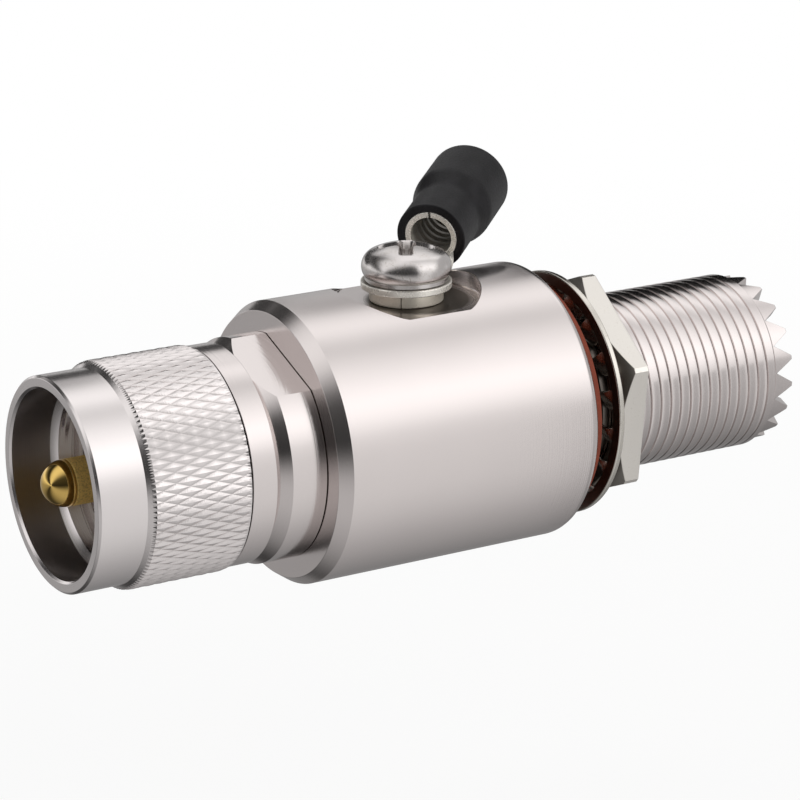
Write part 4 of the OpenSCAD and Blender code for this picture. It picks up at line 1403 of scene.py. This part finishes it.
class ARRESTOR_OT_stage(ArrestorOperator, Operator):
    """Pale floor, soft light tent, lamps and camera"""
    bl_idname = "arrestor.stage"
    bl_label = "Studio"

    CAMERA_AT = (-0.15133, -0.23151, 0.08835)
    # The camera's right, up and back
    CAMERA_AXES = ((0.858, -0.5137, 0.0), (0.15755, 0.26191, 0.95215), (-0.48825, -0.81743, 0.30564))
    WHITE = (1.0, 1.0, 1.0)
    BRIGHTEST = 1.4
    # Light of the tent round the connector axis: degrees from +Y towards +Z, and brightness
    TENT = (
        (0, 0.46), (20, 0.52), (34, 0.46), (43, 0.48), (50, 0.68), (57, 0.96), (66, 1.12), (73, 1.14),
        (79, 1.02), (86, 0.86), (93, 0.78), (102, 0.90), (114, 1.08), (126, 1.24), (140, 1.40),
        (150, 1.34), (159, 1.16), (168, 0.92), (180, 0.82), (218, 0.74), (234, 0.66), (248, 0.56),
        (262, 0.46), (280, 0.36), (292, 0.30), (312, 0.22), (340, 0.30), (360, 0.46),
    )
    # The same for the part of the tent in front of the plug
    TENT_FRONT = (
        (0, 0.78), (6, 1.05), (12, 0.95), (19, 0.42), (25, 0.22), (33, 0.06), (46, 0.02), (53, 0.18),
        (59, 0.62), (66, 0.88), (80, 1.02), (94, 0.98), (105, 0.80), (116, 0.46), (126, 0.16),
        (136, 0.07), (172, 0.03), (182, 0.13), (190, 0.28), (200, 0.46), (212, 0.55), (232, 0.54),
        (250, 0.44), (270, 0.28), (286, 0.12), (296, 0.05), (310, 0.06), (322, 0.22), (334, 0.36),
        (348, 0.42), (360, 0.78),
    )
    # Stations along x between which the tent turns to its front part, or to its plain end behind the jack
    TO_FRONT = (0.07, -0.03)
    TO_END = (0.75, 1.0)
    END_LIGHT = (0.35, 0.35, 0.35)
    # Near cards and dark flags: degrees and brightness, and their ends along x
    CARDS = {
        "jack_card": (((170, 0.60), (178, 0.54), (216, 0.45), (237, 0.38), (270, 0.26), (296, 0.20)),
                      0.044, 0.085),
        "jack_flag": (((8, 0.006), (50, 0.006)), 0.044, 0.085),
        "nut_card": (((37, 0.60), (43, 0.95), (60, 1.05)), -0.006, 0.01),
        "nut_flag": (((14, 0.05), (34, 0.05)), -0.06, 0.0128),
    }
    # Softboxes: direction from the part, distance, width and watts
    LAMPS = {
        "main_softbox": ((0.488, -0.673, 0.555), 0.75, 0.6, 1.6),
        "top_softbox": ((0.2, 0.35, 0.92), 0.75, 0.6, 1.0),
    }
    # White glow of the floor by the part, and the distances between which it turns all white
    FLOOR_GLOW = 0.86
    FLOOR_FADE = (0.05, 0.25)

    def build(self, settings):
        """Sets up the whole studio."""
        bpy.context.scene.view_settings.view_transform = "Standard"
        self.world(settings.stage)
        self.floor(settings.stage)
        self.tent(settings.stage)
        self.lamps()
        self.camera(settings.stage)

    def shown_white(self, nodes):
        """1 for rays of the camera, of a reflection or through glass."""
        kinds = ("Is Camera Ray", "Is Glossy Ray", "Is Transmission Ray")
        camera, glossy, through = (nodes.node("ShaderNodeLightPath", {}, {}, kind) for kind in kinds)
        return camera.greatest(glossy).greatest(through)

    def world(self, stage):
        """Surroundings: white where they show, and a plain fill on surfaces."""
        world = bpy.data.worlds.new("studio")
        bpy.context.scene.world = world
        world.use_nodes = True
        nodes = Nodes(world.node_tree)
        strength = stage.world_fill + (1 - stage.world_fill) * self.shown_white(nodes)
        nodes.feed(nodes.tree.nodes["Background"], {"Color": self.WHITE, "Strength": strength})

    def sheet(self, name, points, recipe):
        """A plain stage surface of one grid."""
        mesh = bpy.data.meshes.new(name)
        rows, columns = points.shape[:2]
        corner = (np.arange(rows - 1)[:, None] * columns + np.arange(columns - 1)[None, :]).ravel()
        faces = np.stack([corner, corner + 1, corner + columns + 1, corner + columns], 1)
        mesh.from_pydata(points.reshape(-1, 3).tolist(), [], faces.tolist())
        mesh.materials.append(recipe.material)
        piece = bpy.data.objects.new(name, mesh)
        bpy.context.scene.collection.objects.link(piece)
        return piece

    def floor(self, stage):
        """A pale floor that keeps a light shadow and turns into the white surroundings further out."""
        half = stage.floor_size / 2
        side = np.linspace(-half, half, 9)
        level = CAD_BOX[0][2] - stage.floor_drop
        points = np.stack(np.broadcast_arrays(side[:, None], side[None, :], level), -1)
        recipe = Recipe("pale_floor", Base_Color=stage.floor_colour, Roughness=0.9)
        x, y = recipe.parts(recipe.place())[:2]
        far = (x * x + y * y).root().range(*self.FLOOR_FADE)
        white = (self.FLOOR_GLOW + (1 - self.FLOOR_GLOW) * far) * self.shown_white(recipe)
        glow = recipe.node("ShaderNodeEmission", {}, {"Color": self.WHITE, "Strength": 1.0})
        plain = Value(recipe, recipe.shader.outputs[0])
        recipe.shown_as(recipe.node("ShaderNodeMixShader", {}, {0: white, 1: plain, 2: glow}))
        self.sheet("floor", points, recipe).visible_glossy = False

    def tent(self, stage):
        """A long tube of soft light panels and dark gaps round the connector axis, with cards near the part.

        Its light depends on the bearing round the axis, one way beside the part and another in front of
        the plug, and is even far behind the jack. The near cards and flags stand by the jack and the
        coupling nut.
        """
        angle = np.linspace(0, TAU, 181)[None, :]
        side = np.linspace(-stage.tent_length, stage.tent_length, 9)[:, None]
        recipe = Recipe("light_tent")
        x = recipe.parts(recipe.place())[0]
        beside, front = (self.ramp(recipe, ring) for ring in (self.TENT, self.TENT_FRONT))
        light = recipe.mix(x.range(*self.TO_FRONT), beside, front)
        light = recipe.mix(x.range(*self.TO_END), light, self.END_LIGHT)
        self.glowing("light_tent", line(stage.tent_radius, side, angle), recipe, light)
        for name, (ring, x_from, x_to) in self.CARDS.items():
            recipe = Recipe(name)
            near = np.linspace(x_from, x_to, 3)[:, None]
            spread = np.radians(np.linspace(ring[0][0], ring[-1][0], 25))[None, :]
            self.glowing(name, line(stage.card_radius, near, spread), recipe, self.ramp(recipe, ring))

    def ramp(self, recipe, ring):
        """Light by the bearing round the connector axis, as a share of the brightest panel."""
        y, z = recipe.parts(recipe.place())[1:]
        bearing = (z.maths("ARCTAN2", y) / TAU).maths("FRACT")
        stops = [(degrees / 360, (level / self.BRIGHTEST,) * 3) for degrees, level in ring]
        return recipe.node("ShaderNodeValToRGB", {"stops": stops}, {"Fac": bearing})

    def glowing(self, name, points, recipe, light):
        """A glowing surface that only reflections see."""
        recipe.shown_as(recipe.node("ShaderNodeEmission", {}, {"Color": light, "Strength": self.BRIGHTEST}))
        piece = self.sheet(name, points, recipe)
        piece.visible_camera = False
        piece.visible_diffuse = False
        piece.visible_transmission = False
        piece.visible_volume_scatter = False
        piece.visible_shadow = False

    def placed(self, name, data, axes, at):
        """A lamp or camera at a point, turned to three axes."""
        piece = bpy.data.objects.new(name, data)
        bpy.context.scene.collection.objects.link(piece)
        stand = np.eye(4)
        stand[:3, :3] = np.stack(axes, 1)
        stand[:3, 3] = at
        piece.matrix_world = Matrix(stand.tolist())
        return piece

    def lamps(self):
        """Two softboxes for plain surfaces; metal sees the tent instead."""
        for name, (direction, distance, width, watts) in self.LAMPS.items():
            lamp = bpy.data.lights.new(name, "AREA")
            lamp.energy = watts
            lamp.size = width
            toward = np.array(direction) / np.linalg.norm(direction)
            side = np.cross((0, 0, 1), toward)
            side = side / np.linalg.norm(side)
            piece = self.placed(name, lamp, (side, np.cross(toward, side), toward), toward * distance)
            piece.visible_camera = False
            piece.visible_glossy = False

    def camera(self, stage):
        """The photograph's viewpoint."""
        camera = bpy.data.cameras.new("camera")
        camera.sensor_width = 36
        camera.lens = stage.lens
        axes = [np.array(axis) / np.linalg.norm(axis) for axis in self.CAMERA_AXES]
        bpy.context.scene.camera = self.placed("camera", camera, axes, self.CAMERA_AT)


OPERATORS = (
    ARRESTOR_OT_body, ARRESTOR_OT_plug_hub, ARRESTOR_OT_coupling_nut, ARRESTOR_OT_plug_contacts,
    ARRESTOR_OT_jack_shell, ARRESTOR_OT_panel_gasket, ARRESTOR_OT_star_washer, ARRESTOR_OT_jam_nut,
    ARRESTOR_OT_ground_screw, ARRESTOR_OT_spring_washer, ARRESTOR_OT_ring_lug, ARRESTOR_OT_inner_line,
    ARRESTOR_OT_stage,
)


class ARRESTOR_PT_panel(Panel):
    """Lists the operators that build the arrestor"""
    bl_idname = "ARRESTOR_PT_panel"
    bl_label = "Lightning arrestor"
    bl_space_type = "VIEW_3D"
    bl_region_type = "UI"
    bl_category = "Arrestor"

    def draw(self, context):
        for operator in OPERATORS:
            self.layout.operator(operator.bl_idname)


CLASSES = (
    BodySizes, HubSizes, NutSizes, ContactSizes, JackSizes, PanelSizes, GroundSizes, FinishColours,
    StageSettings, ArrestorSettings, *OPERATORS, ARRESTOR_PT_panel,
)


def register():
    for item in CLASSES:
        bpy.utils.register_class(item)
    bpy.types.Scene.arrestor = PointerProperty(type=ArrestorSettings)


def unregister():
    del bpy.types.Scene.arrestor
    for item in reversed(CLASSES):
        bpy.utils.unregister_class(item)


def main():
    """Registers the classes and builds every piece and the studio."""
    register()
    for operator in OPERATORS:
        group, name = operator.bl_idname.split(".")
        getattr(getattr(bpy.ops, group), name)()


if __name__ == "__main__":
    main()
